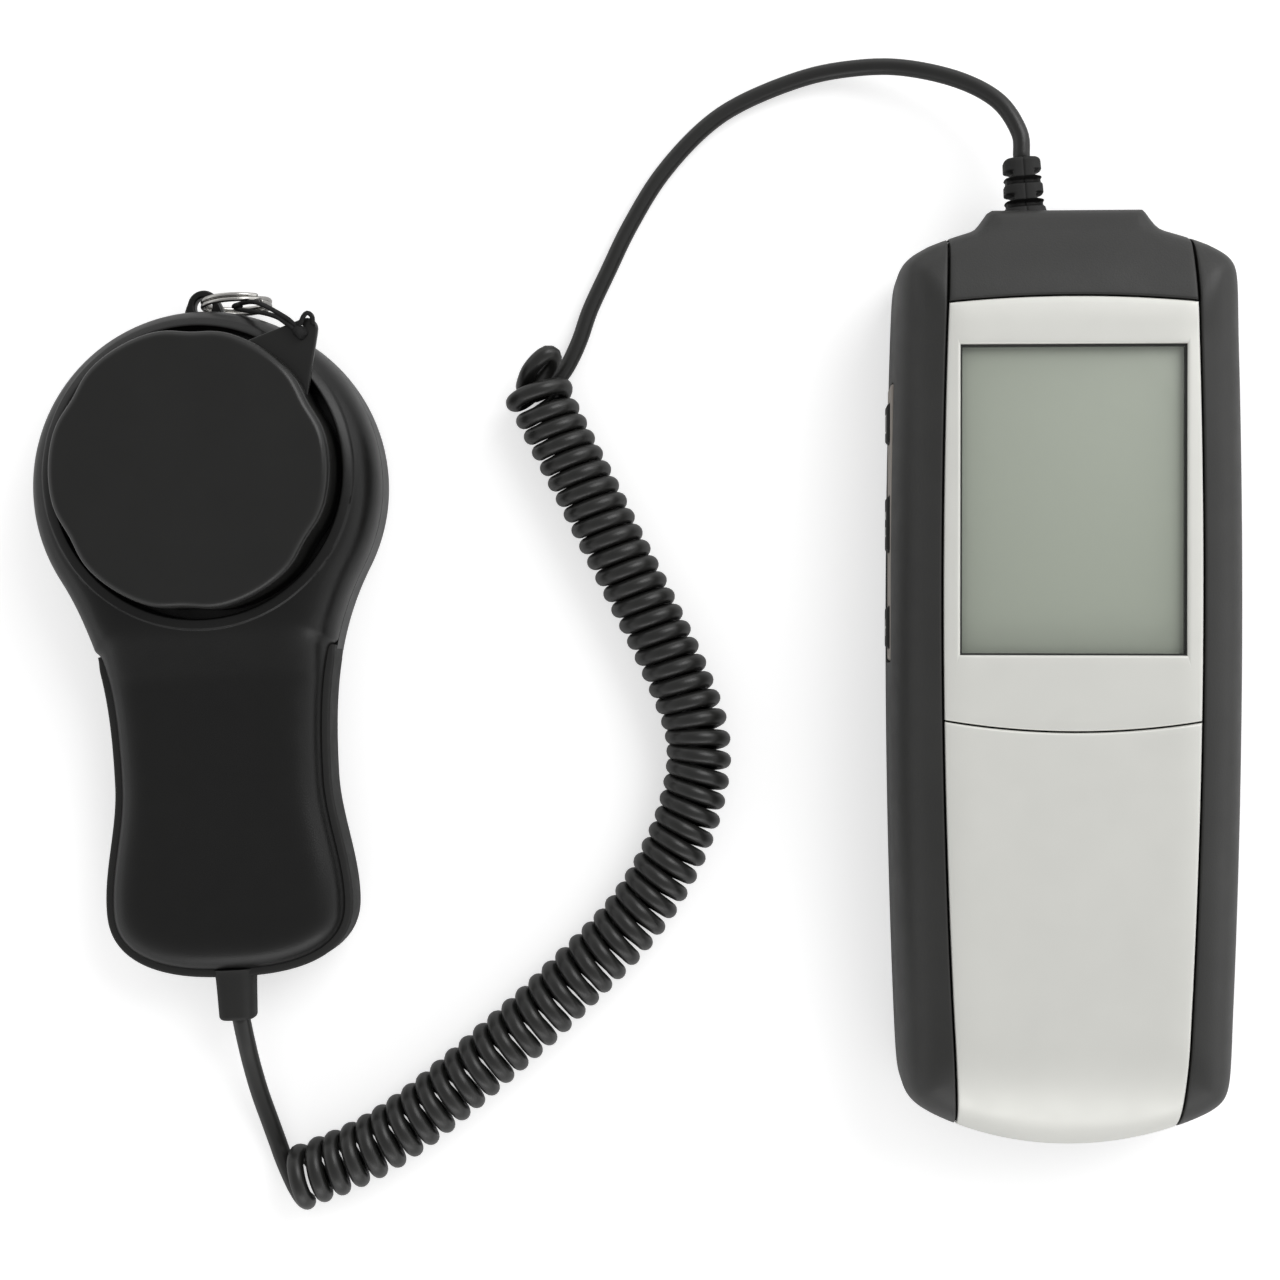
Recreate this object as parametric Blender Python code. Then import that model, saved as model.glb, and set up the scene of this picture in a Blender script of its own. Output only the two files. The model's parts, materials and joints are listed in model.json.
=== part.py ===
"""Handheld solar power and light meter with a remote sensor paddle on a curly lead.

Metres, +Z up. The meter lies on its back: the origin is the centre of its back face, +Y runs
towards the lead end and +X to the user's right. The paddle lies on the same surface to the
left, in a frame of its own whose origin is under the middle of its round head.
"""

import math

import bmesh
import bpy
from mathutils import Matrix, Vector

MM = 0.001
GAP = 0.3 * MM  # between pieces that touch

# Meter housing
METER_LENGTH = 161.2 * MM
METER_WIDTH = 60.3 * MM
METER_HEIGHT = 28.0 * MM
BODY_END_SETBACK = 1.4 * MM  # from the nub's end to the top of the end arc
WIDEST_Y = 12.0 * MM
SIDE_RADIUS = 1640.0 * MM
LOWER_END_RADIUS = 52.0 * MM
UPPER_END_RADIUS = 59.0 * MM
CORNER_POWER = 14.0  # higher is a tighter corner between side and end arc
TIP_HALF_WIDTH = 5.0 * MM
METER_PARTING_Z = 12.0 * MM
METER_CROWN_POWER = 4.0
SLOPE_LENGTH = 21.0 * MM  # stretch at each end where the front face falls away
SLOPE_DROP = 9.0 * MM
METER_END_ROUND = 3.0 * MM
METER_BACK_ROUND = 4.5 * MM
REAR_WALL = 2.0 * MM
FRONT_WALL = 1.6 * MM

# Nub at the lead end
NUB_TOP_HALF_WIDTH = 13.2 * MM
NUB_FLANK_RUN = 3.4 * MM
NUB_CORNER = 0.15  # share of the flank that the corner at its end takes
NUB_SINK = 0.4 * MM
NUB_BASE_Z = 3.0 * MM

# Seams of the front
SEAM_HALF_WIDTH = 0.3607 * METER_WIDTH
SEAM_WIDEST_Y = 15.0 * MM
SEAM_RADIUS = 1370.0 * MM
SEAM_GAP = 0.4 * MM
CAP_SEAM_Y = 63.2 * MM
CAP_SEAM_RISE = 1.15 * MM
PANEL_SEAM_Y = -7.35 * MM
PANEL_SEAM_RISE = -1.85 * MM

# Display
WINDOW_WIDTH = 0.6252 * METER_WIDTH
WINDOW_LENGTH = 52.2 * MM
WINDOW_CENTRE_Y = 29.9 * MM
WINDOW_SINK = 0.0625 * (METER_HEIGHT - METER_PARTING_Z)
PANE_THICKNESS = 1.4 * MM
LCD_THICKNESS = 3.0 * MM
LCD_AIR_GAP = 0.025 * (METER_HEIGHT - METER_PARTING_Z)
LCD_EDGE = 1.0 * MM  # glass hidden behind the bezel, each side
HOLDER_WALL = 1.4 * MM
HOLDER_LEDGE = 2.6 * MM
HOLDER_SINK = 0.05 * METER_HEIGHT
ELASTOMER_WIDTH = 1.8 * MM
ELASTOMER_HEIGHT = 2.0 * MM
ELASTOMER_INSET = 1.0 * MM

# Circuit boards and frame
BOARD_THICKNESS = 1.6 * MM
BOARD_HALF_WIDTH = 0.325 * METER_WIDTH
BOARD_LOW_Y = -18.0 * MM
BOARD_HIGH_Y = 62.5 * MM
CHIP_SIZE = 12.0 * MM
CHIP_THICKNESS = 1.6 * MM
AMPLIFIER_LENGTH = 6.0 * MM
AMPLIFIER_WIDTH = 5.0 * MM
FRAME_THICKNESS = 1.5 * MM
FRAME_EDGE_WALL = 1.7 * MM
SCREW_POSTS = ((0.3317 * METER_WIDTH, 67.0 * MM), (0.3648 * METER_WIDTH, -52.0 * MM))
POST_RADIUS = 3.0 * MM
SCREW_RADIUS = 1.2 * MM
SCREW_HEAD_RADIUS = 2.4 * MM
SCREW_HEAD_DEPTH = 1.8 * MM
SCREW_HEAD_SINK = 3.0 * MM
SCREW_FLOOR = 1.6 * MM  # material between the head's pocket and the boss top
SCREW_ENGAGEMENT = 6.0 * MM
SCREW_SLOT_WIDTH = 0.6 * MM
SCREW_SLOT_DEPTH = 0.7 * MM

# Side keys
KEY_PLATE_LOW_Y = 2.8 * MM
KEY_PLATE_HIGH_Y = 50.6 * MM
KEY_PLATE_HEIGHT = 10.0 * MM
KEY_PLATE_THICKNESS = 1.2 * MM
KEY_PLATE_SINK = 0.35 * MM
KEY_CENTRES = (("power_key", 44.1 * MM, 6.8 * MM), ("hold_key", 26.6 * MM, 9.6 * MM),
               ("range_key", 8.6 * MM, 7.2 * MM))
KEY_HEIGHT = 6.0 * MM
KEY_PROUD = 0.45 * MM
KEY_FLANGE = 0.9 * MM
KEY_FLANGE_THICKNESS = 0.8 * MM
KEY_TRAVEL = 0.6 * MM
KEY_BEVEL = 0.35 * MM
SWITCH_SIZE = 5.0 * MM
SWITCH_DEPTH = 3.0 * MM

# Battery compartment
BATTERY_WIDTH = 26.5 * MM
BATTERY_LENGTH = 46.0 * MM
BATTERY_THICKNESS = 17.5 * MM
BATTERY_EDGE_ROUND = 1.5 * MM
BATTERY_END_Y = -73.0 * MM
STUD_RADIUS = 3.0 * MM
STUD_LENGTH = 2.4 * MM
STUD_SPACING = 12.7 * MM
SNAP_LENGTH = 5.0 * MM
SNAP_WIDTH = 24.0 * MM
SNAP_HEIGHT = 12.0 * MM
PAD_WIDTH = 14.0 * MM
PAD_THICKNESS = 2.0 * MM
PAD_HEIGHT = 10.0 * MM
DOOR_THICKNESS = 1.8 * MM
DOOR_WIDTH = 31.0 * MM
DOOR_HIGH_Y = -20.5 * MM

# Sensor paddle, in its own frame
PADDLE_ORIGIN = (-150.5 * MM, 33.4 * MM)
PADDLE_TURN = math.radians(3.3)
HEAD_RADIUS = 31.1 * MM
NECK_START_Y = -15.5 * MM
WAIST_Y = -52.3 * MM
WAIST_HALF_WIDTH = 19.15 * MM
HEEL_Y = -73.8 * MM
HEEL_HALF_WIDTH = 21.85 * MM
HEEL_LENGTH = 13.0 * MM
HEEL_POWER = 2.5
HEAD_HEIGHT = 20.0 * MM
HANDLE_HEIGHT = 16.5 * MM
SHOULDER_HIGH_Y = -23.0 * MM
SHOULDER_LOW_Y = -36.0 * MM
PADDLE_PARTING_Z = 10.0 * MM
PADDLE_CROWN_POWER = 5.0
PADDLE_END_ROUND = 3.5 * MM
PADDLE_BACK_ROUND = 3.5 * MM
PADDLE_WALL = 2.0 * MM

# Grip band round the handle
BAND_HIGH_Y = -29.3 * MM
BAND_LOW_Z = 4.0 * MM
BAND_HIGH_Z = 13.2 * MM
BAND_PROUD = 0.3 * MM
BAND_DEPTH = 0.9 * MM

# Light collector in the head
RECESS_CENTRE_Y = 1.95 * MM
RECESS_RADIUS = 25.6 * MM
RECESS_FLOOR_Z = 13.0 * MM
RECESS_WALL = 1.3 * MM
RETAINER_RADIUS = RECESS_RADIUS - 3.4 * MM
RETAINER_HEIGHT = 3.4 * MM
DIFFUSER_RADIUS = 14.4 * MM
DIFFUSER_RISE = 5.6 * MM
DIFFUSER_RIM = 1.4 * MM
FILTER_RADIUS = 11.5 * MM
FILTER_THICKNESS = 1.8 * MM
PHOTODIODE_RADIUS = 4.6 * MM
PHOTODIODE_HEIGHT = 3.2 * MM
SENSOR_BOARD_RADIUS = 16.0 * MM
BOARD_POST_RADIUS = 2.2 * MM
BOARD_POST_CIRCLE = 12.0 * MM
SENSOR_POSTS = ((19.5 * MM, 10.0 * MM), (11.0 * MM, -64.0 * MM))

# Ear with its hole, on the lower shell
EAR_HOLE_Y = HEAD_RADIUS + 1.8 * MM
EAR_HOLE_RADIUS = 1.6 * MM
EAR_TIP_RADIUS = 2.9 * MM
EAR_ROOT_HALF_WIDTH = 4.6 * MM
EAR_ROOT_Y = HEAD_RADIUS - 2.1 * MM
EAR_LOW_Z = 5.3 * MM
EAR_THICKNESS = 2.6 * MM

# Protective cap
CAP_RADIUS = RECESS_RADIUS - 1.1 * MM
CAP_WALL = 1.4 * MM
CAP_TOP_Z = 26.6 * MM
CAP_SKIRT_Z = 14.0 * MM
CAP_EDGE_ROUND = 1.4 * MM
SCALLOPS = 6
SCALLOP_DEPTH = 0.75 * MM
SCALLOP_TURN = math.radians(26.0)
TAB_ANGLE = math.radians(48.0)
TAB_TIP_RADIUS = HEAD_RADIUS + 0.5 * MM
TAB_HALF_ANGLE = math.radians(18.0)
TAB_CLEARANCE = 0.6 * MM
TAB_THICKNESS = 1.3 * MM
TAB_NOSE = 1.6 * MM
TAB_HOLE_RADIUS = 0.9 * MM

# Split ring and tether
RING_RADIUS = 5.95 * MM
RING_WIRE_RADIUS = 0.8 * MM
RING_RISE = math.radians(6.0)  # of the ring's middle, as seen from the hole
RING_LEAN = math.radians(10.0)
TETHER_RADIUS = 0.5 * MM
TETHER_HEAD_RADIUS = 31.1 * MM  # the head that the tether's route was laid round
TETHER_ROUTE = ((5.6, 34.6, 14.5), (7.2, 33.9, 16.9), (10.4, 32.4, 20.0), (14.4, 30.4, 22.6),
                (17.6, 28.6, 24.0), (19.6, 27.2, 23.6))

# Strain reliefs and lead
LEAD_RADIUS = 1.45 * MM
RELIEF_RADIUS = 3.65 * MM
RELIEF_END_RADIUS = 3.35 * MM
RELIEF_LENGTH = 9.3 * MM
RELIEF_FLANGE_RADIUS = 4.3 * MM
RELIEF_FLANGE_THICKNESS = 1.6 * MM
RELIEF_NECK_RADIUS = 2.8 * MM
METER_RELIEF_X = -7.0 * MM
METER_RELIEF_Z = 11.6 * MM
PADDLE_RELIEF_Z = 9.6 * MM
PADDLE_RELIEF_LENGTH = 7.6 * MM
COIL_RADIUS = 5.6 * MM

# Route of the lead in millimetres, for a meter of ROUTE_METER_LENGTH: from the meter to the
# coil, along the coil, and on to the paddle. The curly stretch is drawn as its outer shape.
ROUTE_METER_LENGTH = 161.2 * MM
METER_LEAD_ROUTE = ((-7.0, 90.7, 11.6), (-7.4, 95.2, 11.4), (-11.0, 101.0, 10.2),
                    (-18.0, 105.4, 8.0), (-27.7, 108.3, 5.2), (-36.6, 108.7, 3.0),
                    (-45.5, 107.2, 1.9), (-56.2, 103.0, 1.5), (-63.4, 98.0, 1.5),
                    (-70.6, 90.0, 1.5), (-76.0, 81.0, 1.5), (-79.5, 72.9, 1.6),
                    (-82.6, 66.0, 2.2), (-86.4, 60.6, 3.8), (-90.2, 58.2, 5.2),
                    (-92.3, 54.9, 5.7), (-91.4, 52.4, 5.7))
COIL_ROUTE = ((-91.2, 51.8, 5.7), (-88.3, 43.9, 5.7), (-82.8, 33.2, 5.7), (-77.4, 22.4, 5.7),
              (-72.0, 11.7, 5.7), (-67.6, 1.9, 5.7), (-64.5, -7.0, 5.7), (-63.6, -12.6, 5.7),
              (-64.1, -18.6, 5.7), (-66.1, -25.7, 5.7), (-69.3, -32.9, 5.7),
              (-73.7, -40.0, 5.7), (-79.0, -46.3, 5.7), (-85.3, -52.6, 5.7),
              (-91.6, -58.9, 5.7), (-98.7, -65.3, 5.7), (-105.9, -71.6, 5.7),
              (-113.1, -77.7, 5.7), (-120.3, -82.9, 5.7), (-126.6, -86.8, 5.7),
              (-132.6, -90.2, 5.7))
PADDLE_LEAD_ROUTE = ((-133.1, -90.5, 5.7), (-135.5, -91.7, 5.4), (-138.1, -89.4, 3.8),
                     (-140.2, -84.6, 2.1), (-142.4, -78.4, 2.4), (-144.1, -71.8, 5.0),
                     (-144.75, -66.6, 8.6), (-145.0, -61.9, 9.6))

PROFILE_STEPS = 6
STATIONS = 20
ROUND_SEGMENTS = 16
SEAM_STEPS = 8
SIDE_STEPS = 12
SMOOTH_ANGLE = math.radians(35.0)


# Objects, materials and Booleans

def material(name, colour, roughness, metallic=0.0):
    """A Principled material, made once."""
    found = bpy.data.materials.get(name)
    if found:
        return found
    made = bpy.data.materials.new(name)
    made.use_nodes = True
    shader = made.node_tree.nodes["Principled BSDF"]
    shader.inputs["Base Color"].default_value = (*colour, 1.0)
    shader.inputs["Roughness"].default_value = roughness
    shader.inputs["Metallic"].default_value = metallic
    made.diffuse_color = (*colour, 1.0)
    return made


def dark_plastic():
    return material("dark_grey_plastic", (0.040, 0.040, 0.038), 0.5)


def black_plastic():
    return material("black_plastic", (0.018, 0.018, 0.017), 0.42)


def silver_paint():
    return material("silver_paint", (0.66, 0.66, 0.63), 0.42, 0.25)


def black_rubber():
    return material("black_rubber", (0.020, 0.020, 0.020), 0.62)


def board_green():
    return material("board_green", (0.02, 0.12, 0.05), 0.5)


def steel():
    return material("steel", (0.62, 0.61, 0.59), 0.25, 1.0)


def add_object(name, mesh, finish):
    mesh.materials.clear()
    mesh.materials.append(finish)
    mesh.shade_smooth()
    mesh.set_sharp_from_angle(angle=SMOOTH_ANGLE)
    made = bpy.data.objects.new(name, mesh)
    bpy.context.scene.collection.objects.link(made)
    return made


def object_from_bmesh(name, solid, finish):
    bmesh.ops.recalc_face_normals(solid, faces=solid.faces)
    mesh = bpy.data.meshes.new(name)
    solid.to_mesh(mesh)
    solid.free()
    return add_object(name, mesh, finish)


def combine(target, tool, operation):
    """Applies a Boolean to the target and removes the tool."""
    modifier = target.modifiers.new(operation.lower(), "BOOLEAN")
    modifier.operation = operation
    modifier.solver = "EXACT"
    modifier.object = tool
    bpy.context.view_layer.update()
    graph = bpy.context.evaluated_depsgraph_get()
    result = bpy.data.meshes.new_from_object(target.evaluated_get(graph))
    target.modifiers.clear()
    before = target.data
    target.data = result
    bpy.data.meshes.remove(before)
    bpy.data.objects.remove(tool)
    target.data.shade_smooth()
    target.data.set_sharp_from_angle(angle=SMOOTH_ANGLE)
    return target


def cut(target, tool):
    return combine(target, tool, "DIFFERENCE")


def join(target, tool):
    return combine(target, tool, "UNION")


def keep(target, tool):
    return combine(target, tool, "INTERSECT")


def copy_of(source, name, finish):
    return add_object(name, source.data.copy(), finish)


# Basic solids

def box(name, low, high, finish=None):
    solid = bmesh.new()
    bmesh.ops.create_cube(solid, size=1.0)
    size = Vector(high) - Vector(low)
    middle = (Vector(high) + Vector(low)) / 2
    bmesh.ops.transform(solid, verts=solid.verts,
                        matrix=Matrix.Translation(middle) @ Matrix.Diagonal((*size, 1.0)))
    return object_from_bmesh(name, solid, finish or dark_plastic())


def cylinder(name, centre, radius, low_z, high_z, finish=None, segments=ROUND_SEGMENTS):
    solid = bmesh.new()
    bmesh.ops.create_cone(solid, cap_ends=True, segments=segments, radius1=radius,
                          radius2=radius, depth=high_z - low_z)
    middle = Vector((centre[0], centre[1], (low_z + high_z) / 2))
    bmesh.ops.translate(solid, verts=solid.verts, vec=middle)
    return object_from_bmesh(name, solid, finish or dark_plastic())


def prism(name, outline, low_z, high_z, finish=None):
    """An outline in plan, extruded from low_z to high_z."""
    solid = bmesh.new()
    face = solid.faces.new([solid.verts.new((x, y, low_z)) for x, y in outline])
    risen = bmesh.ops.extrude_face_region(solid, geom=[face])["geom"]
    top = [item for item in risen if isinstance(item, bmesh.types.BMVert)]
    bmesh.ops.translate(solid, verts=top, vec=(0, 0, high_z - low_z))
    return object_from_bmesh(name, solid, finish or dark_plastic())


def loft(name, rings, finish=None):
    """A solid through closed rings with the same number of points, capped at both ends."""
    solid = bmesh.new()
    rows = [[solid.verts.new(point) for point in ring] for ring in rings]
    count = len(rows[0])
    for row, following in zip(rows, rows[1:]):
        for index in range(count):
            after = (index + 1) % count
            solid.faces.new((row[index], row[after], following[after], following[index]))
    solid.faces.new(rows[0])
    solid.faces.new(rows[-1])
    return object_from_bmesh(name, solid, finish or dark_plastic())


def turned(name, profile, finish=None, segments=ROUND_SEGMENTS, radius_at=None):
    """A closed (radius, height) profile turned about Z. A radius of zero is a point on the axis."""
    solid = bmesh.new()
    rows = []
    for radius, height in profile:
        if radius == 0.0:
            rows.append([solid.verts.new((0, 0, height))])
            continue
        row = []
        for index in range(segments):
            angle = 2 * math.pi * index / segments
            reach = radius_at(radius, angle) if radius_at else radius
            row.append(solid.verts.new((reach * math.cos(angle), reach * math.sin(angle),
                                        height)))
        rows.append(row)
    pairs = list(zip(rows, rows[1:]))
    if len(rows[0]) > 1:
        pairs.append((rows[-1], rows[0]))
    for row, following in pairs:
        for index in range(segments):
            after = (index + 1) % segments
            corners = [row[index % len(row)], row[after % len(row)],
                       following[after % len(following)], following[index % len(following)]]
            kept = [corner for place, corner in enumerate(corners)
                    if corner not in corners[:place]]
            solid.faces.new(kept)
    return object_from_bmesh(name, solid, finish or dark_plastic())


def move_mesh(target, matrix):
    target.data.transform(matrix)
    return target


# Shape of the housings

def arc_half_width(y, centre_y, radius):
    return math.sqrt(max(radius * radius - (y - centre_y) ** 2, 0.0))


def rounded_minimum(first, second):
    """The smaller of two widths, rounded off where they are alike."""
    low = min(first, second)
    ratio = low / max(first, second)
    return low * (1 + ratio ** CORNER_POWER) ** (-1 / CORNER_POWER)


def meter_low_y():
    return -METER_LENGTH / 2


def meter_high_y():
    return METER_LENGTH / 2 - BODY_END_SETBACK


def meter_half_width(y):
    side = METER_WIDTH / 2 - (y - WIDEST_Y) ** 2 / (2 * SIDE_RADIUS)
    lower_centre = meter_low_y() + LOWER_END_RADIUS
    upper_centre = meter_high_y() - UPPER_END_RADIUS
    if y < lower_centre:
        side = rounded_minimum(side, arc_half_width(y, lower_centre, LOWER_END_RADIUS))
    if y > upper_centre:
        side = rounded_minimum(side, arc_half_width(y, upper_centre, UPPER_END_RADIUS))
    return max(side, TIP_HALF_WIDTH)


def end_rounding(distance, radius):
    """How far a rounded edge has dropped at this distance from the end."""
    if distance >= radius:
        return 0.0
    return radius - math.sqrt(radius * radius - (radius - distance) ** 2)


def slope_drop(y):
    half = METER_LENGTH / 2
    run = max(abs(y) - (half - SLOPE_LENGTH), 0.0) / SLOPE_LENGTH
    return SLOPE_DROP * run * run


def meter_top_z(y):
    distance = min(y - meter_low_y(), meter_high_y() - y)
    return METER_HEIGHT - slope_drop(y) - end_rounding(max(distance, 0.0), METER_END_ROUND)


def meter_base_z(y):
    distance = min(y - meter_low_y(), meter_high_y() - y)
    return end_rounding(max(distance, 0.0), METER_BACK_ROUND)


def section(y, half_width, base_z, top_z, side_z, back_round, power):
    """A closed ring across a housing: flat back, rounded back edges and a crowned front."""
    round_x = min(back_round, 0.6 * half_width)
    round_z = min(back_round, 0.8 * (side_z - base_z))
    half = []
    for step in range(4):
        angle = math.radians(-90 + 30 * step)
        half.append((half_width - round_x + round_x * math.cos(angle),
                     base_z + round_z + round_z * math.sin(angle)))
    for step in range(PROFILE_STEPS):
        angle = math.radians(90) * step / PROFILE_STEPS
        half.append((half_width * math.cos(angle) ** (2 / power),
                     side_z + (top_z - side_z) * math.sin(angle) ** (2 / power)))
    right = [Vector((x, y, z)) for x, z in half]
    left = [Vector((-x, y, z)) for x, z in reversed(half)]
    return [*right, Vector((0, y, top_z)), *left]


def stations(low, high, count=STATIONS):
    """Places along a length, closer together towards both ends."""
    middle = (low + high) / 2
    reach = (high - low) / 2
    return [middle - reach * math.cos(math.pi * step / count) for step in range(count + 1)]


def meter_solid(name, inset):
    """The whole meter body, with its surface moved inwards by the inset."""
    rings = []
    for y in stations(meter_low_y() + inset, meter_high_y() - inset):
        rings.append(section(y, meter_half_width(y) - inset, meter_base_z(y) + inset,
                             meter_top_z(y) - inset, METER_PARTING_Z,
                             METER_BACK_ROUND, METER_CROWN_POWER))
    return loft(name, rings)


def meter_nub(name):
    high = METER_LENGTH / 2
    root_y = high - BODY_END_SETBACK - 3 * NUB_FLANK_RUN
    base_half = NUB_TOP_HALF_WIDTH + NUB_FLANK_RUN
    corner = NUB_CORNER * NUB_FLANK_RUN
    places = ((root_y, base_half), (high - NUB_FLANK_RUN, base_half),
              (high - corner, NUB_TOP_HALF_WIDTH + 2 * corner), (high, NUB_TOP_HALF_WIDTH))
    rings = []
    for y, half in places:
        top = METER_HEIGHT - slope_drop(y) - NUB_SINK
        rings.append(section(y, half, NUB_BASE_Z, top, METER_PARTING_Z,
                             METER_BACK_ROUND, METER_CROWN_POWER))
    return loft(name, rings)


def hermite(start, end, start_slope, end_slope, run, t):
    cubed = t * t * t
    squared = t * t
    return (start * (2 * cubed - 3 * squared + 1) + end * (3 * squared - 2 * cubed)
            + run * (start_slope * (cubed - 2 * squared + t) + end_slope * (cubed - squared)))


def paddle_low_y():
    return HEEL_Y - HEEL_LENGTH


def paddle_half_width(y):
    if y >= NECK_START_Y:
        return max(arc_half_width(y, 0.0, HEAD_RADIUS), TIP_HALF_WIDTH)
    if y >= WAIST_Y:
        start = arc_half_width(NECK_START_Y, 0.0, HEAD_RADIUS)
        run = WAIST_Y - NECK_START_Y
        slope = -NECK_START_Y / start
        return hermite(start, WAIST_HALF_WIDTH, slope, 0.0, run, (y - NECK_START_Y) / run)
    if y >= HEEL_Y:
        run = HEEL_Y - WAIST_Y
        return hermite(WAIST_HALF_WIDTH, HEEL_HALF_WIDTH, 0.0, 0.0, run, (y - WAIST_Y) / run)
    depth = min((HEEL_Y - y) / HEEL_LENGTH, 1.0)
    width = HEEL_HALF_WIDTH * (1 - depth ** HEEL_POWER) ** (1 / HEEL_POWER)
    return max(width, TIP_HALF_WIDTH)


def paddle_end_distance(y):
    return max(min(y - paddle_low_y(), HEAD_RADIUS - y), 0.0)


def paddle_top_z(y):
    t = (y - SHOULDER_LOW_Y) / (SHOULDER_HIGH_Y - SHOULDER_LOW_Y)
    t = min(max(t, 0.0), 1.0)
    rise = (HEAD_HEIGHT - HANDLE_HEIGHT) * t * t * (3 - 2 * t)
    return HANDLE_HEIGHT + rise - end_rounding(paddle_end_distance(y), PADDLE_END_ROUND)


def paddle_solid(name, inset):
    """The whole paddle, with its surface moved inwards by the inset."""
    rings = []
    for y in stations(paddle_low_y() + inset, HEAD_RADIUS - inset):
        base = end_rounding(paddle_end_distance(y), PADDLE_BACK_ROUND) + inset
        rings.append(section(y, paddle_half_width(y) - inset, base, paddle_top_z(y) - inset,
                             PADDLE_PARTING_Z, PADDLE_BACK_ROUND, PADDLE_CROWN_POWER))
    return loft(name, rings)


# Places that more than one piece takes its size from

def reach():
    """Further than any housing goes, for cutters."""
    return METER_LENGTH


def seam_x(y):
    return SEAM_HALF_WIDTH - (y - SEAM_WIDEST_Y) ** 2 / (2 * SEAM_RADIUS)


def seam_y(x, end_y, rise):
    share = min(abs(x) / SEAM_HALF_WIDTH, 1.0)
    return end_y + rise * (1 - share * share)


def pane_top_z():
    return METER_HEIGHT - WINDOW_SINK


def lcd_top_z():
    return pane_top_z() - PANE_THICKNESS - LCD_AIR_GAP


def lcd_base_z():
    return lcd_top_z() - LCD_THICKNESS


def board_top_z():
    return lcd_base_z() - ELASTOMER_HEIGHT - 2 * GAP


def board_base_z():
    return board_top_z() - BOARD_THICKNESS


def frame_base_z():
    return board_top_z() + GAP


def lcd_half_sizes():
    return WINDOW_WIDTH / 2 + LCD_EDGE, WINDOW_LENGTH / 2 + LCD_EDGE


def holder_half_sizes():
    width, length = lcd_half_sizes()
    return width + GAP + HOLDER_WALL, length + GAP + HOLDER_WALL


def key_plate_z():
    return METER_PARTING_Z


def wall_x():
    """The flat stretch of the left wall, at the middle of the key plate."""
    return -meter_half_width((KEY_PLATE_LOW_Y + KEY_PLATE_HIGH_Y) / 2)


def key_plate_face_x():
    return wall_x() + KEY_PLATE_SINK


def key_back_x():
    return key_plate_face_x() + KEY_PLATE_THICKNESS + GAP + KEY_FLANGE_THICKNESS


def switch_front_x():
    return key_back_x() + KEY_TRAVEL + GAP


def key_board_x():
    return switch_front_x() + SWITCH_DEPTH + GAP


def post_places(posts):
    return [(side * x, y) for x, y in posts for side in (-1, 1)]


def battery_base_z():
    return DOOR_THICKNESS + GAP


def battery_stud_y():
    return BATTERY_END_Y + BATTERY_LENGTH


# Meter pieces

def meter_skin(name, wall):
    """The housing as a closed shell of one wall thickness, with the solid nub."""
    skin = join(meter_solid(name, 0.0), meter_nub("nub"))
    return cut(skin, meter_solid("hollow", wall))


def across(low_z, high_z, name="slab"):
    far = reach()
    return box(name, (-far, -far, low_z), (far, far, high_z))


def panel_region(name, low, high, widening):
    """Plan region between the two rails, from one seam to another, as a tall prism."""
    low_y, low_rise = low
    high_y, high_rise = high
    shares = [2 * step / SEAM_STEPS - 1 for step in range(SEAM_STEPS + 1)]
    side_ys = [low_y + (high_y - low_y) * step / SIDE_STEPS for step in range(1, SIDE_STEPS)]
    outline = [(share * (seam_x(low_y) + widening),
                seam_y(share * SEAM_HALF_WIDTH, low_y, low_rise)) for share in shares]
    outline += [(seam_x(y) + widening, y) for y in side_ys]
    outline += [(share * (seam_x(high_y) + widening),
                 seam_y(share * SEAM_HALF_WIDTH, high_y, high_rise))
                for share in reversed(shares)]
    outline += [(-seam_x(y) - widening, y) for y in reversed(side_ys)]
    return prism(name, outline, 0.0, 2 * METER_HEIGHT)


def relief_hole(name, y_low, y_high, x, z):
    """A bore along Y for the neck of a strain relief."""
    bore = cylinder(name, (0, 0), RELIEF_NECK_RADIUS + GAP, y_low, y_high)
    move_mesh(bore, Matrix.Translation((x, 0, z)) @ Matrix.Rotation(math.radians(-90), 4, "X"))
    return bore


def meter_relief_hole():
    return relief_hole("bore", meter_high_y() - 8 * REAR_WALL, METER_LENGTH, METER_RELIEF_X,
                       METER_RELIEF_Z)


def key_pocket():
    inner_x = wall_x() + 2 * REAR_WALL
    return box("pocket", (wall_x() - REAR_WALL, KEY_PLATE_LOW_Y - GAP,
                          key_plate_z() - KEY_PLATE_HEIGHT / 2 - GAP),
               (inner_x, KEY_PLATE_HIGH_Y + GAP, key_plate_z() + KEY_PLATE_HEIGHT / 2 + GAP))


def screw_head_z():
    return SCREW_HEAD_SINK


def boss_top_z():
    return screw_head_z() + SCREW_HEAD_DEPTH + SCREW_FLOOR


def add_screw_boss(shell, place, floor_z):
    boss = cylinder("boss", place, POST_RADIUS + REAR_WALL / 2, floor_z, boss_top_z())
    join(shell, boss)
    cut(shell, cylinder("head_pocket", place, SCREW_HEAD_RADIUS + GAP, -REAR_WALL,
                        screw_head_z() + SCREW_HEAD_DEPTH + GAP))
    return cut(shell, cylinder("shank_hole", place, SCREW_RADIUS + GAP, -REAR_WALL,
                               boss_top_z() + REAR_WALL))


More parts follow.
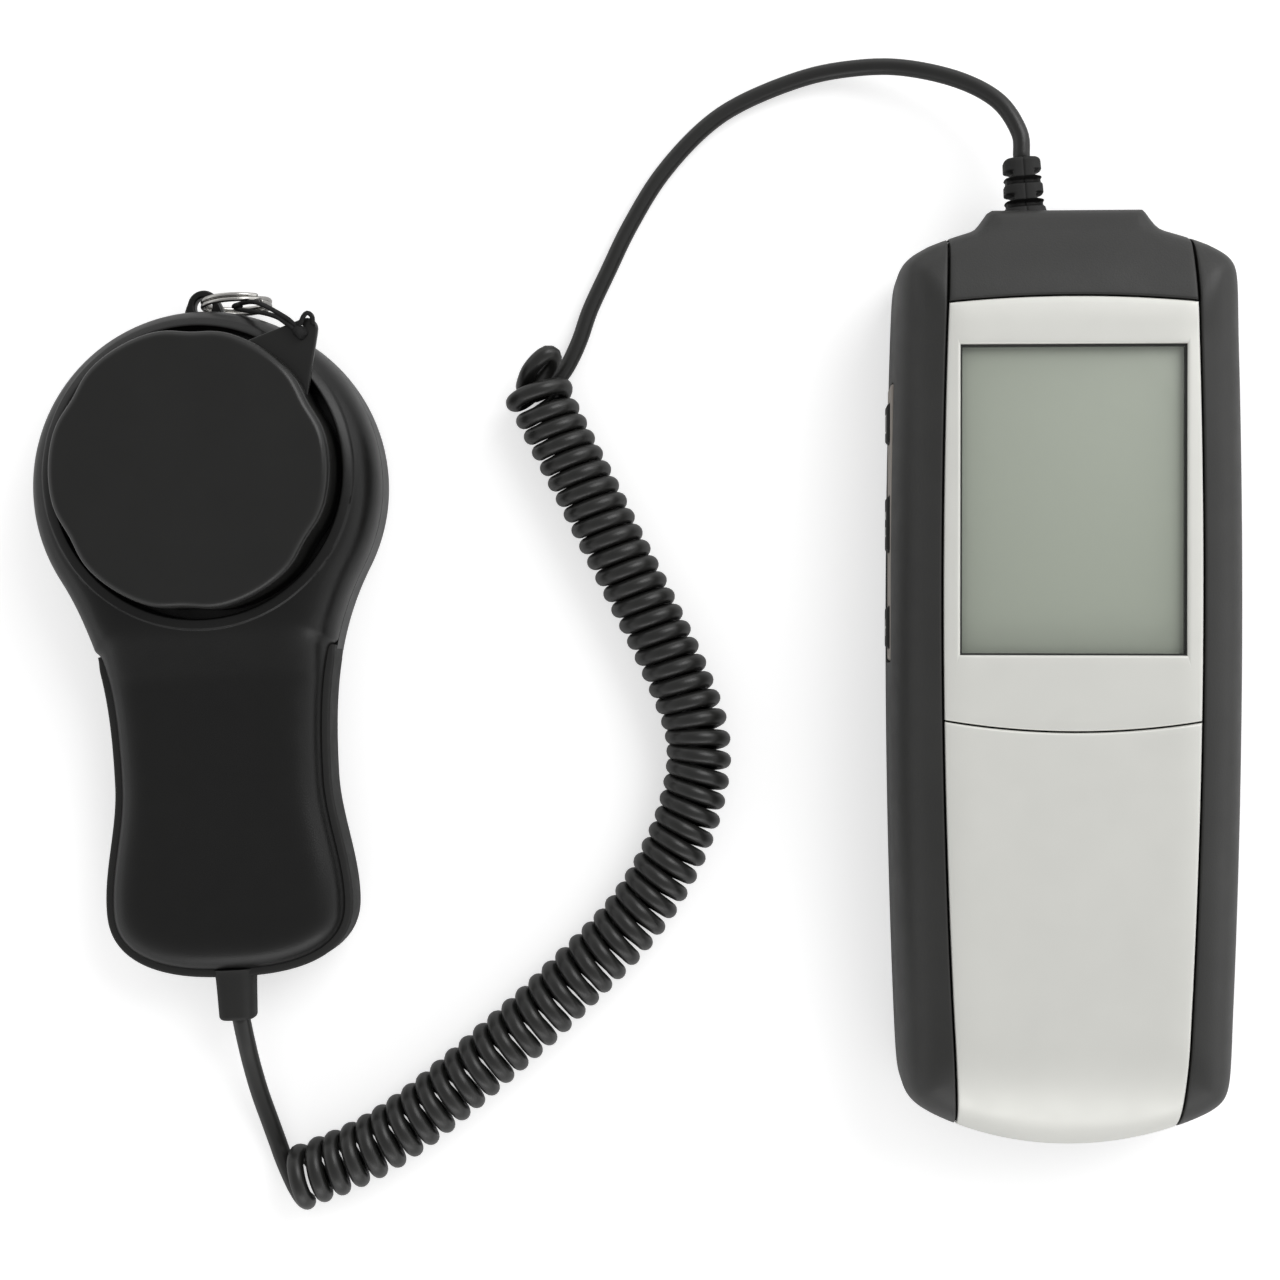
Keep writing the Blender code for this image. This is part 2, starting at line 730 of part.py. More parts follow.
def screw(name, place):
    """A slotted screw, its head downwards, reaching into the post above."""
    low = screw_head_z()
    neck = low + SCREW_HEAD_DEPTH
    tip = boss_top_z() + SCREW_ENGAGEMENT
    profile = ((0.0, low), (SCREW_HEAD_RADIUS, low), (SCREW_HEAD_RADIUS, neck),
               (SCREW_RADIUS, neck), (SCREW_RADIUS, tip - SCREW_RADIUS), (0.0, tip))
    made = turned(name, profile, steel(), segments=16)
    half = SCREW_HEAD_RADIUS + GAP
    cut(made, box("slot", (-half, -SCREW_SLOT_WIDTH / 2, low - SCREW_SLOT_DEPTH),
                  (half, SCREW_SLOT_WIDTH / 2, low + SCREW_SLOT_DEPTH)))
    return move_mesh(made, Matrix.Translation((*place, 0)))


def screws(prefix, posts):
    return [screw(f"{prefix}_screw_{number}", place)
            for number, place in enumerate(post_places(posts), 1)]


def door_region(clearance):
    half = DOOR_WIDTH / 2 + clearance
    return box("door_region", (-half, -reach(), -REAR_WALL),
               (half, DOOR_HIGH_Y + clearance, DOOR_THICKNESS + clearance))


def rear_shell():
    shell = meter_skin("rear_shell", REAR_WALL)
    keep(shell, across(-REAR_WALL, METER_PARTING_Z - GAP / 2))
    for place in post_places(SCREW_POSTS):
        add_screw_boss(shell, place, REAR_WALL / 2)
    cut(shell, door_region(GAP))
    cut(shell, battery_bay())
    cut(shell, key_pocket())
    return cut(shell, meter_relief_hole())


def battery_bay():
    """Room for the battery and its snap where they pass the floor."""
    half = BATTERY_WIDTH / 2 + GAP
    return box("bay", (-half, BATTERY_END_Y - GAP, -REAR_WALL),
               (half, battery_stud_y() + STUD_LENGTH, METER_PARTING_Z))


def battery_door():
    door = meter_solid("battery_door", 0.0)
    return keep(door, door_region(0.0))


def front_skin():
    skin = meter_skin("front_skin", FRONT_WALL)
    return keep(skin, across(METER_PARTING_Z + GAP / 2, 2 * METER_HEIGHT))


def side_rails(skin):
    """The two dark rails beside the panels, and the pocket for the keys in the left one."""
    far = reach()
    between = panel_region("between", (-far / 2 - REAR_WALL, 0.0), (far / 2 + REAR_WALL, 0.0),
                           SEAM_GAP / 2)
    rails = cut(copy_of(skin, "right_side_rail", dark_plastic()), between)
    left = copy_of(rails, "left_side_rail", dark_plastic())
    keep(left, box("left_half", (-far, -far, 0), (0, far, far)))
    cut(left, key_pocket())
    keep(rails, box("right_half", (0, -far, 0), (far, far, far)))
    return [left, rails]


def top_cap(skin):
    cap = copy_of(skin, "top_cap", dark_plastic())
    far = reach()
    keep(cap, panel_region("cap_region", (CAP_SEAM_Y, CAP_SEAM_RISE), (far, 0.0),
                           -SEAM_GAP / 2))
    return cut(cap, meter_relief_hole())


def upper_bezel(skin):
    bezel = copy_of(skin, "upper_bezel", silver_paint())
    keep(bezel, panel_region("bezel_region", (PANEL_SEAM_Y + GAP, PANEL_SEAM_RISE),
                             (CAP_SEAM_Y - GAP, CAP_SEAM_RISE), -SEAM_GAP / 2))
    half_width = WINDOW_WIDTH / 2
    half_length = WINDOW_LENGTH / 2
    return cut(bezel, box("opening", (-half_width, WINDOW_CENTRE_Y - half_length, 0),
                          (half_width, WINDOW_CENTRE_Y + half_length, 2 * METER_HEIGHT)))


def lower_front_panel(skin):
    panel = copy_of(skin, "lower_front_panel", silver_paint())
    return keep(panel, panel_region("panel_region", (-reach(), 0.0),
                                    (PANEL_SEAM_Y, PANEL_SEAM_RISE), -SEAM_GAP / 2))


def front_frame():
    """The inner frame that the rails and panels fix to, with posts for the rear screws."""
    frame = meter_solid("front_frame", FRONT_WALL + GAP)
    base = frame_base_z()
    keep(frame, across(base, base + FRAME_THICKNESS))
    width, length = holder_half_sizes()
    cut(frame, box("display_hole", (-width - GAP, WINDOW_CENTRE_Y - length - GAP, 0),
                   (width + GAP, WINDOW_CENTRE_Y + length + GAP, METER_HEIGHT)))
    half = BATTERY_WIDTH / 2 + FRAME_EDGE_WALL
    far = reach()
    cut(frame, box("battery_gap", (-half, -far, 0), (half, DOOR_HIGH_Y, METER_HEIGHT)))
    cut(frame, box("leg_ends", (-far, -far, 0), (far, meter_low_y() + SLOPE_LENGTH,
                                                 METER_HEIGHT)))
    for place in post_places(SCREW_POSTS):
        join(frame, cylinder("post", place, POST_RADIUS, boss_top_z() + GAP,
                             base + FRAME_THICKNESS / 2))
        cut(frame, cylinder("pilot", place, SCREW_RADIUS + GAP, 0,
                            boss_top_z() + SCREW_ENGAGEMENT + GAP))
    return frame


def display():
    """Window pane, liquid crystal cell, its holder and the two contact strips."""
    width = WINDOW_WIDTH / 2
    length = WINDOW_LENGTH / 2
    centre = WINDOW_CENTRE_Y
    glass = material("clear_window", (0.55, 0.58, 0.52), 0.08)
    cell = material("display_cell", (0.36, 0.40, 0.33), 0.3)
    pane = box("lcd_window", (-width + GAP, centre - length + GAP, pane_top_z() - PANE_THICKNESS),
               (width - GAP, centre + length - GAP, pane_top_z()), glass)
    lcd_width, lcd_length = lcd_half_sizes()
    panel = box("lcd_panel", (-lcd_width, centre - lcd_length, lcd_base_z()),
                (lcd_width, centre + lcd_length, lcd_top_z()), cell)
    return [pane, panel, lcd_holder(), *contact_strips()]


def lcd_holder():
    outer_width, outer_length = holder_half_sizes()
    centre = WINDOW_CENTRE_Y
    holder = box("lcd_holder", (-outer_width, centre - outer_length, board_top_z() + GAP),
                 (outer_width, centre + outer_length, lcd_top_z() - HOLDER_SINK),
                 black_plastic())
    width, length = lcd_half_sizes()
    cut(holder, box("seat", (-width - GAP, centre - length - GAP, lcd_base_z() - GAP),
                    (width + GAP, centre + length + GAP, METER_HEIGHT)))
    return cut(holder, box("view", (-width + HOLDER_LEDGE, centre - length + GAP, 0),
                           (width - HOLDER_LEDGE, centre + length - GAP, METER_HEIGHT)))


def contact_strips():
    pink = material("contact_elastomer", (0.55, 0.30, 0.28), 0.7)
    width, length = lcd_half_sizes()
    half = width - HOLDER_LEDGE - GAP
    low_z = board_top_z() + GAP
    strips = []
    for name, side in (("upper_contact_strip", 1), ("lower_contact_strip", -1)):
        y = WINDOW_CENTRE_Y + side * (length - ELASTOMER_INSET - ELASTOMER_WIDTH / 2)
        strips.append(box(name, (-half, y - ELASTOMER_WIDTH / 2, low_z),
                          (half, y + ELASTOMER_WIDTH / 2, low_z + ELASTOMER_HEIGHT), pink))
    return strips


def main_boards():
    """The main board under the display, with its processor and the input amplifier."""
    chip = material("chip_black", (0.012, 0.012, 0.014), 0.35)
    board = box("main_board", (-BOARD_HALF_WIDTH, BOARD_LOW_Y, board_base_z()),
                (BOARD_HALF_WIDTH, BOARD_HIGH_Y, board_top_z()), board_green())
    chip_top = board_base_z() - GAP
    half = CHIP_SIZE / 2
    processor = box("processor_chip", (-half, WINDOW_CENTRE_Y - half, chip_top - CHIP_THICKNESS),
                    (half, WINDOW_CENTRE_Y + half, chip_top), chip)
    low = BOARD_LOW_Y + CHIP_SIZE
    amplifier = box("input_amplifier",
                    (-AMPLIFIER_WIDTH / 2, low, chip_top - CHIP_THICKNESS),
                    (AMPLIFIER_WIDTH / 2, low + AMPLIFIER_LENGTH, chip_top), chip)
    return [board, processor, amplifier]


def side_key_plate():
    x = key_plate_face_x()
    half = KEY_PLATE_HEIGHT / 2
    z = key_plate_z()
    plate = box("side_key_plate", (x, KEY_PLATE_LOW_Y, z - half),
                (x + KEY_PLATE_THICKNESS, KEY_PLATE_HIGH_Y, z + half),
                material("key_plate_grey", (0.30, 0.27, 0.24), 0.5))
    for _, y, length in KEY_CENTRES:
        cut(plate, box("key_hole", (x - REAR_WALL, y - length / 2 - GAP,
                                    z - KEY_HEIGHT / 2 - GAP),
                       (x + REAR_WALL, y + length / 2 + GAP, z + KEY_HEIGHT / 2 + GAP)))
    return plate


def side_key(name, y, length):
    """A key cap with the flange that keeps it behind the plate. Its origin is its centre."""
    z = key_plate_z()
    outer_x = wall_x() - KEY_PROUD
    key = box(name, (outer_x, y - length / 2, z - KEY_HEIGHT / 2),
              (key_back_x() - KEY_FLANGE_THICKNESS / 2, y + length / 2, z + KEY_HEIGHT / 2),
              black_rubber())
    bevel = key.modifiers.new("edges", "BEVEL")
    bevel.width = KEY_BEVEL
    bevel.segments = 2
    side = KEY_FLANGE
    join(key, box("flange", (key_back_x() - KEY_FLANGE_THICKNESS, y - length / 2 - side,
                             z - KEY_HEIGHT / 2 - side),
                  (key_back_x(), y + length / 2 + side, z + KEY_HEIGHT / 2 + side)))
    centre = Vector((outer_x, y, z))
    move_mesh(key, Matrix.Translation(-centre))
    key.location = centre
    return key


def key_switches():
    """A switch behind each key, all on one upright board."""
    x = switch_front_x()
    z = key_plate_z()
    half = SWITCH_SIZE / 2
    made = []
    for number, (_, y, _) in enumerate(KEY_CENTRES, 1):
        made.append(box(f"key_switch_{number}", (x, y - half, z - half),
                        (x + SWITCH_DEPTH, y + half, z + half), steel()))
    board_x = key_board_x()
    made.append(box("key_board", (board_x, KEY_PLATE_LOW_Y, z - KEY_PLATE_HEIGHT / 2),
                    (board_x + BOARD_THICKNESS, KEY_PLATE_HIGH_Y, board_base_z() - GAP),
                    board_green()))
    return made


def battery():
    half = BATTERY_WIDTH / 2
    low_z = battery_base_z()
    cell = box("nine_volt_battery", (-half, BATTERY_END_Y, low_z),
               (half, battery_stud_y(), low_z + BATTERY_THICKNESS),
               material("battery_jacket", (0.10, 0.10, 0.11), 0.35, 0.3))
    bevel = cell.modifiers.new("edges", "BEVEL")
    bevel.width = BATTERY_EDGE_ROUND
    bevel.segments = 2
    for side in (-1, 1):
        join(cell, stud("stud", side, STUD_RADIUS, STUD_LENGTH))
    return cell


def stud(name, side, radius, length):
    """A battery terminal along Y, or the socket for one."""
    made = cylinder(name, (0, 0), radius, -GAP, length, segments=16)
    place = (side * STUD_SPACING / 2, battery_stud_y(), battery_base_z() + BATTERY_THICKNESS / 2)
    return move_mesh(made, Matrix.Translation(place) @ Matrix.Rotation(math.radians(-90), 4, "X"))


def battery_snap():
    low_y = battery_stud_y() + GAP
    middle_z = battery_base_z() + BATTERY_THICKNESS / 2
    snap = box("battery_snap", (-SNAP_WIDTH / 2, low_y, middle_z - SNAP_HEIGHT / 2),
               (SNAP_WIDTH / 2, low_y + SNAP_LENGTH, middle_z + SNAP_HEIGHT / 2),
               black_plastic())
    for side in (-1, 1):
        cut(snap, stud("socket", side, STUD_RADIUS + GAP, STUD_LENGTH + GAP))
    return snap


def battery_pad():
    high_y = BATTERY_END_Y - GAP
    middle_z = battery_base_z() + BATTERY_THICKNESS / 2
    return box("battery_pad", (-PAD_WIDTH / 2, high_y - PAD_THICKNESS, middle_z - PAD_HEIGHT / 2),
               (PAD_WIDTH / 2, high_y, middle_z + PAD_HEIGHT / 2),
               material("foam", (0.05, 0.05, 0.05), 0.95))


def strain_relief(name, inner_end, outer_face, length, z, x, direction):
    """A relief whose flange is at inner_end and whose body starts at outer_face, along Y."""
    wall = abs(outer_face - inner_end)
    thickness = RELIEF_FLANGE_THICKNESS
    profile = ((0.0, -thickness), (RELIEF_FLANGE_RADIUS, -thickness),
               (RELIEF_FLANGE_RADIUS, 0.0), (RELIEF_NECK_RADIUS, 0.0),
               (RELIEF_NECK_RADIUS, wall), (RELIEF_RADIUS, wall),
               (RELIEF_END_RADIUS, wall + length), (0.0, wall + length))
    made = turned(name, profile, black_rubber(), segments=20)
    turn = Matrix.Rotation(math.radians(-90 * direction), 4, "X")
    return move_mesh(made, Matrix.Translation((x, inner_end, z)) @ turn)


def meter_strain_relief():
    inner = meter_high_y() - REAR_WALL - GAP
    return strain_relief("meter_strain_relief", inner, METER_LENGTH / 2 + GAP, RELIEF_LENGTH,
                         METER_RELIEF_Z, METER_RELIEF_X, 1)


# Paddle pieces

def band_region(clearance):
    far = reach()
    return box("band_region", (-far, -far, BAND_LOW_Z - clearance),
               (far, BAND_HIGH_Y + clearance, BAND_HIGH_Z + clearance))


def cut_band_groove(shell):
    """Takes the outer layer off the shell where the grip band lies."""
    groove = paddle_solid("groove", -PADDLE_WALL)
    cut(groove, paddle_solid("core", BAND_DEPTH + GAP))
    keep(groove, band_region(GAP))
    return cut(shell, groove)


def grip_band():
    band = paddle_solid("grip_band", -BAND_PROUD)
    cut(band, paddle_solid("core", BAND_DEPTH))
    keep(band, band_region(0.0))
    cut(band, paddle_relief_hole())
    band.data.materials.clear()
    band.data.materials.append(black_rubber())
    return band


def paddle_relief_hole():
    low = paddle_low_y()
    return relief_hole("bore", low - 4 * PADDLE_WALL, low + 6 * PADDLE_WALL, 0.0,
                       PADDLE_RELIEF_Z)


def ear_solid():
    points = [(-EAR_ROOT_HALF_WIDTH, EAR_ROOT_Y)]
    for step in range(9):
        angle = math.radians(170 - 20 * step)
        points.append((EAR_TIP_RADIUS * math.cos(angle),
                       EAR_HOLE_Y + EAR_TIP_RADIUS * math.sin(angle)))
    points.append((EAR_ROOT_HALF_WIDTH, EAR_ROOT_Y))
    return prism("ear", points, EAR_LOW_Z, EAR_LOW_Z + EAR_THICKNESS)


def post_top_z():
    return RECESS_FLOOR_Z - RECESS_WALL / 2


def sensor_board_z():
    """Underside of the sensor board: the filter, the diode and the board hang in one stack."""
    return (RECESS_FLOOR_Z - FILTER_THICKNESS - GAP - PHOTODIODE_HEIGHT - GAP
            - BOARD_THICKNESS)


def sensor_lower_shell():
    shell = cut(paddle_solid("sensor_lower_shell", 0.0), paddle_solid("hollow", PADDLE_WALL))
    keep(shell, across(-PADDLE_WALL, PADDLE_PARTING_Z - GAP / 2))
    join(shell, ear_solid())
    cut(shell, cylinder("ear_hole", (0, EAR_HOLE_Y), EAR_HOLE_RADIUS, 0, HEAD_HEIGHT,
                        segments=16))
    for place in post_places(SENSOR_POSTS):
        add_screw_boss(shell, place, PADDLE_WALL / 2)
    for turn in range(3):
        angle = math.radians(90 + 120 * turn)
        place = (BOARD_POST_CIRCLE * math.cos(angle),
                 RECESS_CENTRE_Y + BOARD_POST_CIRCLE * math.sin(angle))
        join(shell, cylinder("board_post", place, BOARD_POST_RADIUS, PADDLE_WALL / 2,
                             sensor_board_z() - GAP, segments=12))
    cut_band_groove(shell)
    cut(shell, paddle_relief_hole())
    return finish_black(shell)


def finish_black(shell):
    shell.data.materials.clear()
    shell.data.materials.append(black_plastic())
    return shell


def sensor_upper_shell():
    shell = cut(paddle_solid("sensor_upper_shell", 0.0), paddle_solid("hollow", PADDLE_WALL))
    keep(shell, across(PADDLE_PARTING_Z + GAP / 2, 2 * HEAD_HEIGHT))
    centre = (0.0, RECESS_CENTRE_Y)
    cup_low = RECESS_FLOOR_Z - RECESS_WALL
    join(shell, cylinder("cup", centre, RECESS_RADIUS + RECESS_WALL, cup_low,
                         HEAD_HEIGHT - PADDLE_WALL / 2, segments=40))
    cut(shell, cylinder("recess", centre, RECESS_RADIUS, RECESS_FLOOR_Z, 2 * HEAD_HEIGHT,
                        segments=40))
    cut(shell, cylinder("window", centre, FILTER_RADIUS + GAP, 0, 2 * HEAD_HEIGHT,
                        segments=32))
    for place in post_places(SENSOR_POSTS):
        high = post_top_z() if place[1] > NECK_START_Y else HANDLE_HEIGHT - PADDLE_WALL / 2
        join(shell, cylinder("post", place, POST_RADIUS, boss_top_z() + GAP, high))
        cut(shell, cylinder("pilot", place, SCREW_RADIUS + GAP, 0,
                            boss_top_z() + SCREW_ENGAGEMENT + GAP))
    cut_band_groove(shell)
    cut(shell, paddle_relief_hole())
    return finish_black(shell)


def light_collector():
    """Retaining ring, diffuser dome, filter, photodiode and board, one above the other."""
    floor = RECESS_FLOOR_Z + GAP
    inner = DIFFUSER_RADIUS + GAP
    top = floor + RETAINER_HEIGHT
    retainer = turned("diffuser_retainer",
                      ((inner, floor), (RETAINER_RADIUS, floor),
                       (RETAINER_RADIUS, top - CAP_WALL), (RETAINER_RADIUS - CAP_WALL, top),
                       (inner + CAP_WALL, top), (inner, top - CAP_WALL)),
                      black_plastic(), segments=40)
    rim = floor + DIFFUSER_RIM
    dome_points = [(DIFFUSER_RADIUS * math.cos(math.radians(18 * step)),
                    rim + (DIFFUSER_RISE - DIFFUSER_RIM) * math.sin(math.radians(18 * step)))
                   for step in range(5)]
    dome = turned("diffuser_dome",
                  ((0.0, floor), (DIFFUSER_RADIUS, floor), *dome_points,
                   (0.0, floor + DIFFUSER_RISE)),
                  material("diffuser_white", (0.85, 0.85, 0.83), 0.55), segments=32)
    filter_low = RECESS_FLOOR_Z - FILTER_THICKNESS
    glass = cylinder("optical_filter", (0, 0), FILTER_RADIUS, filter_low, RECESS_FLOOR_Z,
                     material("filter_glass", (0.10, 0.22, 0.24), 0.1), segments=32)
    diode_low = filter_low - GAP - PHOTODIODE_HEIGHT
    diode = cylinder("photodiode", (0, 0), PHOTODIODE_RADIUS, diode_low,
                     filter_low - GAP, steel())
    board = cylinder("sensor_board", (0, 0), SENSOR_BOARD_RADIUS, sensor_board_z(),
                     diode_low - GAP, board_green(), segments=32)
    pieces = [retainer, dome, glass, diode, board]
    for piece in pieces:
        move_mesh(piece, Matrix.Translation((0, RECESS_CENTRE_Y, 0)))
    return pieces


def scalloped(radius, angle):
    """The cap's outer radius, with shallow finger scallops round it."""
    if radius < CAP_RADIUS - CAP_WALL / 2:
        return radius
    wave = (1 + math.cos(SCALLOPS * (angle - SCALLOP_TURN))) / 2
    return radius - SCALLOP_DEPTH * wave ** 4


def cap_tab():
    """A pointed tab with a nose, reaching out from the cap over the rim of the head."""
    low = HEAD_HEIGHT + TAB_CLEARANCE
    root = CAP_RADIUS - CAP_WALL / 2
    points = []
    for turn in (-1, 1):
        angle = TAB_ANGLE + turn * TAB_HALF_ANGLE
        points.append((root * math.cos(angle), root * math.sin(angle)))
    nose = []
    for turn in (-70, -35, 0, 35, 70):
        angle = TAB_ANGLE + math.radians(turn)
        nose.append((TAB_TIP_RADIUS * math.cos(TAB_ANGLE) + TAB_NOSE * math.cos(angle),
                     TAB_TIP_RADIUS * math.sin(TAB_ANGLE) + TAB_NOSE * math.sin(angle)))
    return prism("tab", [points[0], *nose, points[1]], low, low + TAB_THICKNESS)


def sensor_cap():
    inner = CAP_RADIUS - CAP_WALL
    top = CAP_TOP_Z
    side = top - CAP_EDGE_ROUND
    profile = ((0.0, top), (CAP_RADIUS - CAP_EDGE_ROUND, top),
               (CAP_RADIUS - 0.3 * CAP_EDGE_ROUND, top - 0.3 * CAP_EDGE_ROUND),
               (CAP_RADIUS, side), (CAP_RADIUS, CAP_SKIRT_Z), (inner, CAP_SKIRT_Z),
               (inner, top - CAP_WALL), (0.0, top - CAP_WALL))
    cap = turned("sensor_cap", profile, black_plastic(), segments=48, radius_at=scalloped)
    join(cap, cap_tab())
    cut(cap, cylinder("tab_hole", tab_hole_place(), TAB_HOLE_RADIUS, 0, 2 * HEAD_HEIGHT,
                      segments=12))
    return move_mesh(cap, Matrix.Translation((0, RECESS_CENTRE_Y, 0)))


def tab_hole_place():
    return (TAB_TIP_RADIUS * math.cos(TAB_ANGLE), TAB_TIP_RADIUS * math.sin(TAB_ANGLE))


def ring_hole():
    """Middle of the ear's hole, which the ring's wire passes through."""
    return Vector((0, EAR_HOLE_Y, EAR_LOW_Z + EAR_THICKNESS / 2))


def ring_frame():
    """Turns a ring lying flat about Z so that it stands in the ear's hole, leaning out.

    The ring's own origin is in the middle of the hole, where its hinge axis passes.
    """
    along = Vector((math.cos(RING_RISE), 0, math.sin(RING_RISE)))
    up = Vector((0, math.sin(RING_LEAN), math.cos(RING_LEAN)))
    up = (up - along * up.dot(along)).normalized()
    normal = along.cross(up).normalized()
    frame = Matrix((along, up, normal)).transposed().to_4x4()
    return Matrix.Translation(along * RING_RADIUS) @ frame


def split_ring():
    rows = []
    count = 28
    around = 8
    for step in range(count):
        angle = 2 * math.pi * step / count
        middle = Vector((math.cos(angle), math.sin(angle), 0)) * RING_RADIUS
        outward = middle.normalized()
        rows.append([middle + outward * RING_WIRE_RADIUS * math.cos(2 * math.pi * k / around)
                     + Vector((0, 0, RING_WIRE_RADIUS * math.sin(2 * math.pi * k / around)))
                     for k in range(around)])
    solid = bmesh.new()
    grid = [[solid.verts.new(point) for point in row] for row in rows]
    for step in range(count):
        after = (step + 1) % count
        for k in range(around):
            beside = (k + 1) % around
            solid.faces.new((grid[step][k], grid[step][beside], grid[after][beside],
                             grid[after][k]))
    ring = object_from_bmesh("split_ring", solid, steel())
    ring.location = ring_hole()
    return move_mesh(ring, ring_frame())


def paddle_strain_relief():
    inner = paddle_low_y() + PADDLE_WALL + GAP
    outer = paddle_low_y() - BAND_PROUD - GAP
    return strain_relief("sensor_strain_relief", inner, outer, PADDLE_RELIEF_LENGTH,
                         PADDLE_RELIEF_Z, 0.0, -1)


# Lead

def smooth_path(route, spacing):
    """Points on a Catmull-Rom curve through the route, about one spacing apart."""
    points = [Vector(point) * MM for point in route]
    padded = [2 * points[0] - points[1], *points, 2 * points[-1] - points[-2]]
    path = []
    for before, start, end, after in zip(padded, padded[1:], padded[2:], padded[3:]):
        steps = max(1, round((end - start).length / spacing))
        for step in range(steps):
            t = step / steps
            path.append(0.5 * (2 * start + (end - before) * t
                               + (2 * before - 5 * start + 4 * end - after) * t * t
                               + (3 * start - before - 3 * end + after) * t * t * t))
    path.append(points[-1])
    return path


def shifted(route, before, after):
    """The route with its two ends moved by these shifts, and the points between by their share."""
    last = len(route) - 1
    return [[place + (start * (last - index) + end * index) / last / MM
             for place, start, end in zip(point, before, after)]
            for index, point in enumerate(route)]


def tube(name, route, radius, spacing, finish, resolution):
    curve = bpy.data.curves.new(name, "CURVE")
    curve.dimensions = "3D"
    curve.bevel_depth = radius
    curve.bevel_resolution = resolution
    curve.use_fill_caps = True
    path = smooth_path(route, spacing)
    spline = curve.splines.new("POLY")
    spline.points.add(len(path) - 1)
    for point, place in zip(spline.points, path):
        point.co = (*place, 1.0)
    curve.materials.append(finish)
    made = bpy.data.objects.new(name, curve)
    bpy.context.scene.collection.objects.link(made)
    return made


def lead():
    grown = (METER_LENGTH - ROUTE_METER_LENGTH) / 2
    meter_end = shifted(METER_LEAD_ROUTE, (0, grown, 0), (0, 0, 0))
    return [tube("cord_lead_meter", meter_end, LEAD_RADIUS, 6 * LEAD_RADIUS, black_rubber(), 2),
            tube("cord_coil", COIL_ROUTE, COIL_RADIUS, 2 * COIL_RADIUS, black_rubber(), 4),
            tube("cord_lead_sensor", PADDLE_LEAD_ROUTE, LEAD_RADIUS, 6 * LEAD_RADIUS,
                 black_rubber(), 2)]


# Assembly

def attach(frame, pieces):
    for piece in pieces:
        piece.parent = frame


def frame_at(name, location, turn=0.0):
    frame = bpy.data.objects.new(name, None)
    frame.location = location
    frame.rotation_euler = (0, 0, turn)
    bpy.context.scene.collection.objects.link(frame)
    return frame


def meter_pieces():
    skin = front_skin()
    pieces = [rear_shell(), battery_door(), front_frame(), *side_rails(skin), top_cap(skin),
              upper_bezel(skin), lower_front_panel(skin), *display(), *main_boards(),
              side_key_plate(), *key_switches(), battery(), battery_snap(), battery_pad(),
              meter_strain_relief(), *screws("rear", SCREW_POSTS)]
    pieces += [side_key(name, y, length) for name, y, length in KEY_CENTRES]
    bpy.data.objects.remove(skin)
    return pieces


def paddle_pieces():
    return [sensor_lower_shell(), sensor_upper_shell(), grip_band(), *light_collector(),
            split_ring(), paddle_strain_relief(), *screws("sensor", SENSOR_POSTS)]


def cap_pieces():
    grown = HEAD_RADIUS - TETHER_HEAD_RADIUS
    at_tab = (grown * math.cos(TAB_ANGLE), grown * math.sin(TAB_ANGLE), 0)
    route = shifted(TETHER_ROUTE, (0, grown, 0), at_tab)
    tether = tube("cap_tether", route, TETHER_RADIUS, 4 * TETHER_RADIUS, black_rubber(), 1)
    return [sensor_cap(), tether]


def build():
    for old in list(bpy.data.objects):
        bpy.data.objects.remove(old)
    attach(frame_at("meter_frame", (0, 0, 0)), [*meter_pieces(), *lead()])
    paddle = frame_at("paddle_frame", (*PADDLE_ORIGIN, 0), PADDLE_TURN)
    attach(paddle, paddle_pieces())
    cap = frame_at("cap_frame", (0, 0, 0))
    cap.parent = paddle
    attach(cap, cap_pieces())


build()
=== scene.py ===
import json
import math

import bmesh
import bpy
import numpy as np
from mathutils import Matrix, Vector


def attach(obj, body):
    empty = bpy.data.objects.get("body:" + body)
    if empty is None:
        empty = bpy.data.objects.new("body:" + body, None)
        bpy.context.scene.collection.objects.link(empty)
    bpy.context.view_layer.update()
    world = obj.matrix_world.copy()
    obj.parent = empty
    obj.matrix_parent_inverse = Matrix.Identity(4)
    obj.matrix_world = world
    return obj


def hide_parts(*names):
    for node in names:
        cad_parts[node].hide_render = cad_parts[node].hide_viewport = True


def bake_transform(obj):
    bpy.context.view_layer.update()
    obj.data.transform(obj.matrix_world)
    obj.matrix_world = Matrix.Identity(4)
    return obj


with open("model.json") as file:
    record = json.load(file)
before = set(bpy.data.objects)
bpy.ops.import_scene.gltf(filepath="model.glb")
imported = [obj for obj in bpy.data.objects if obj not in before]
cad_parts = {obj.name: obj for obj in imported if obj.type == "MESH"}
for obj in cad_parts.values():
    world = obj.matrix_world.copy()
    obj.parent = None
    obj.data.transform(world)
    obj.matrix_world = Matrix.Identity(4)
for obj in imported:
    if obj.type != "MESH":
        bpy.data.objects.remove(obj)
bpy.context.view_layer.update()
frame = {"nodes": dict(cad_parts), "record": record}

MM = 0.001
GAP = 0.3
SHARP_ANGLE = 35.0

# Camera and light. The camera's place and target are in millimetres, and its focal length is in
# pixels of the 1280 pixel frame
CAMERA_PLACE = (-51.53, 3.73, 420.0)
CAMERA_TARGET = (-73.37, 6.29, 14.0)
CAMERA_ROLL = math.radians(-0.15)
FOCAL_PIXELS = 2325.0
FRAME_PIXELS = 1280.0
SENSOR_WIDTH = 36.0
CEILING_SIDE = (-0.13, 0.0, 0.99)
CEILING_LIGHT = 0.42
HORIZON_LIGHT = 1.2
FLOOR_HALF = 6.0
FLOOR_DROP = 0.0003
FLOOR_LIFT = 0.5

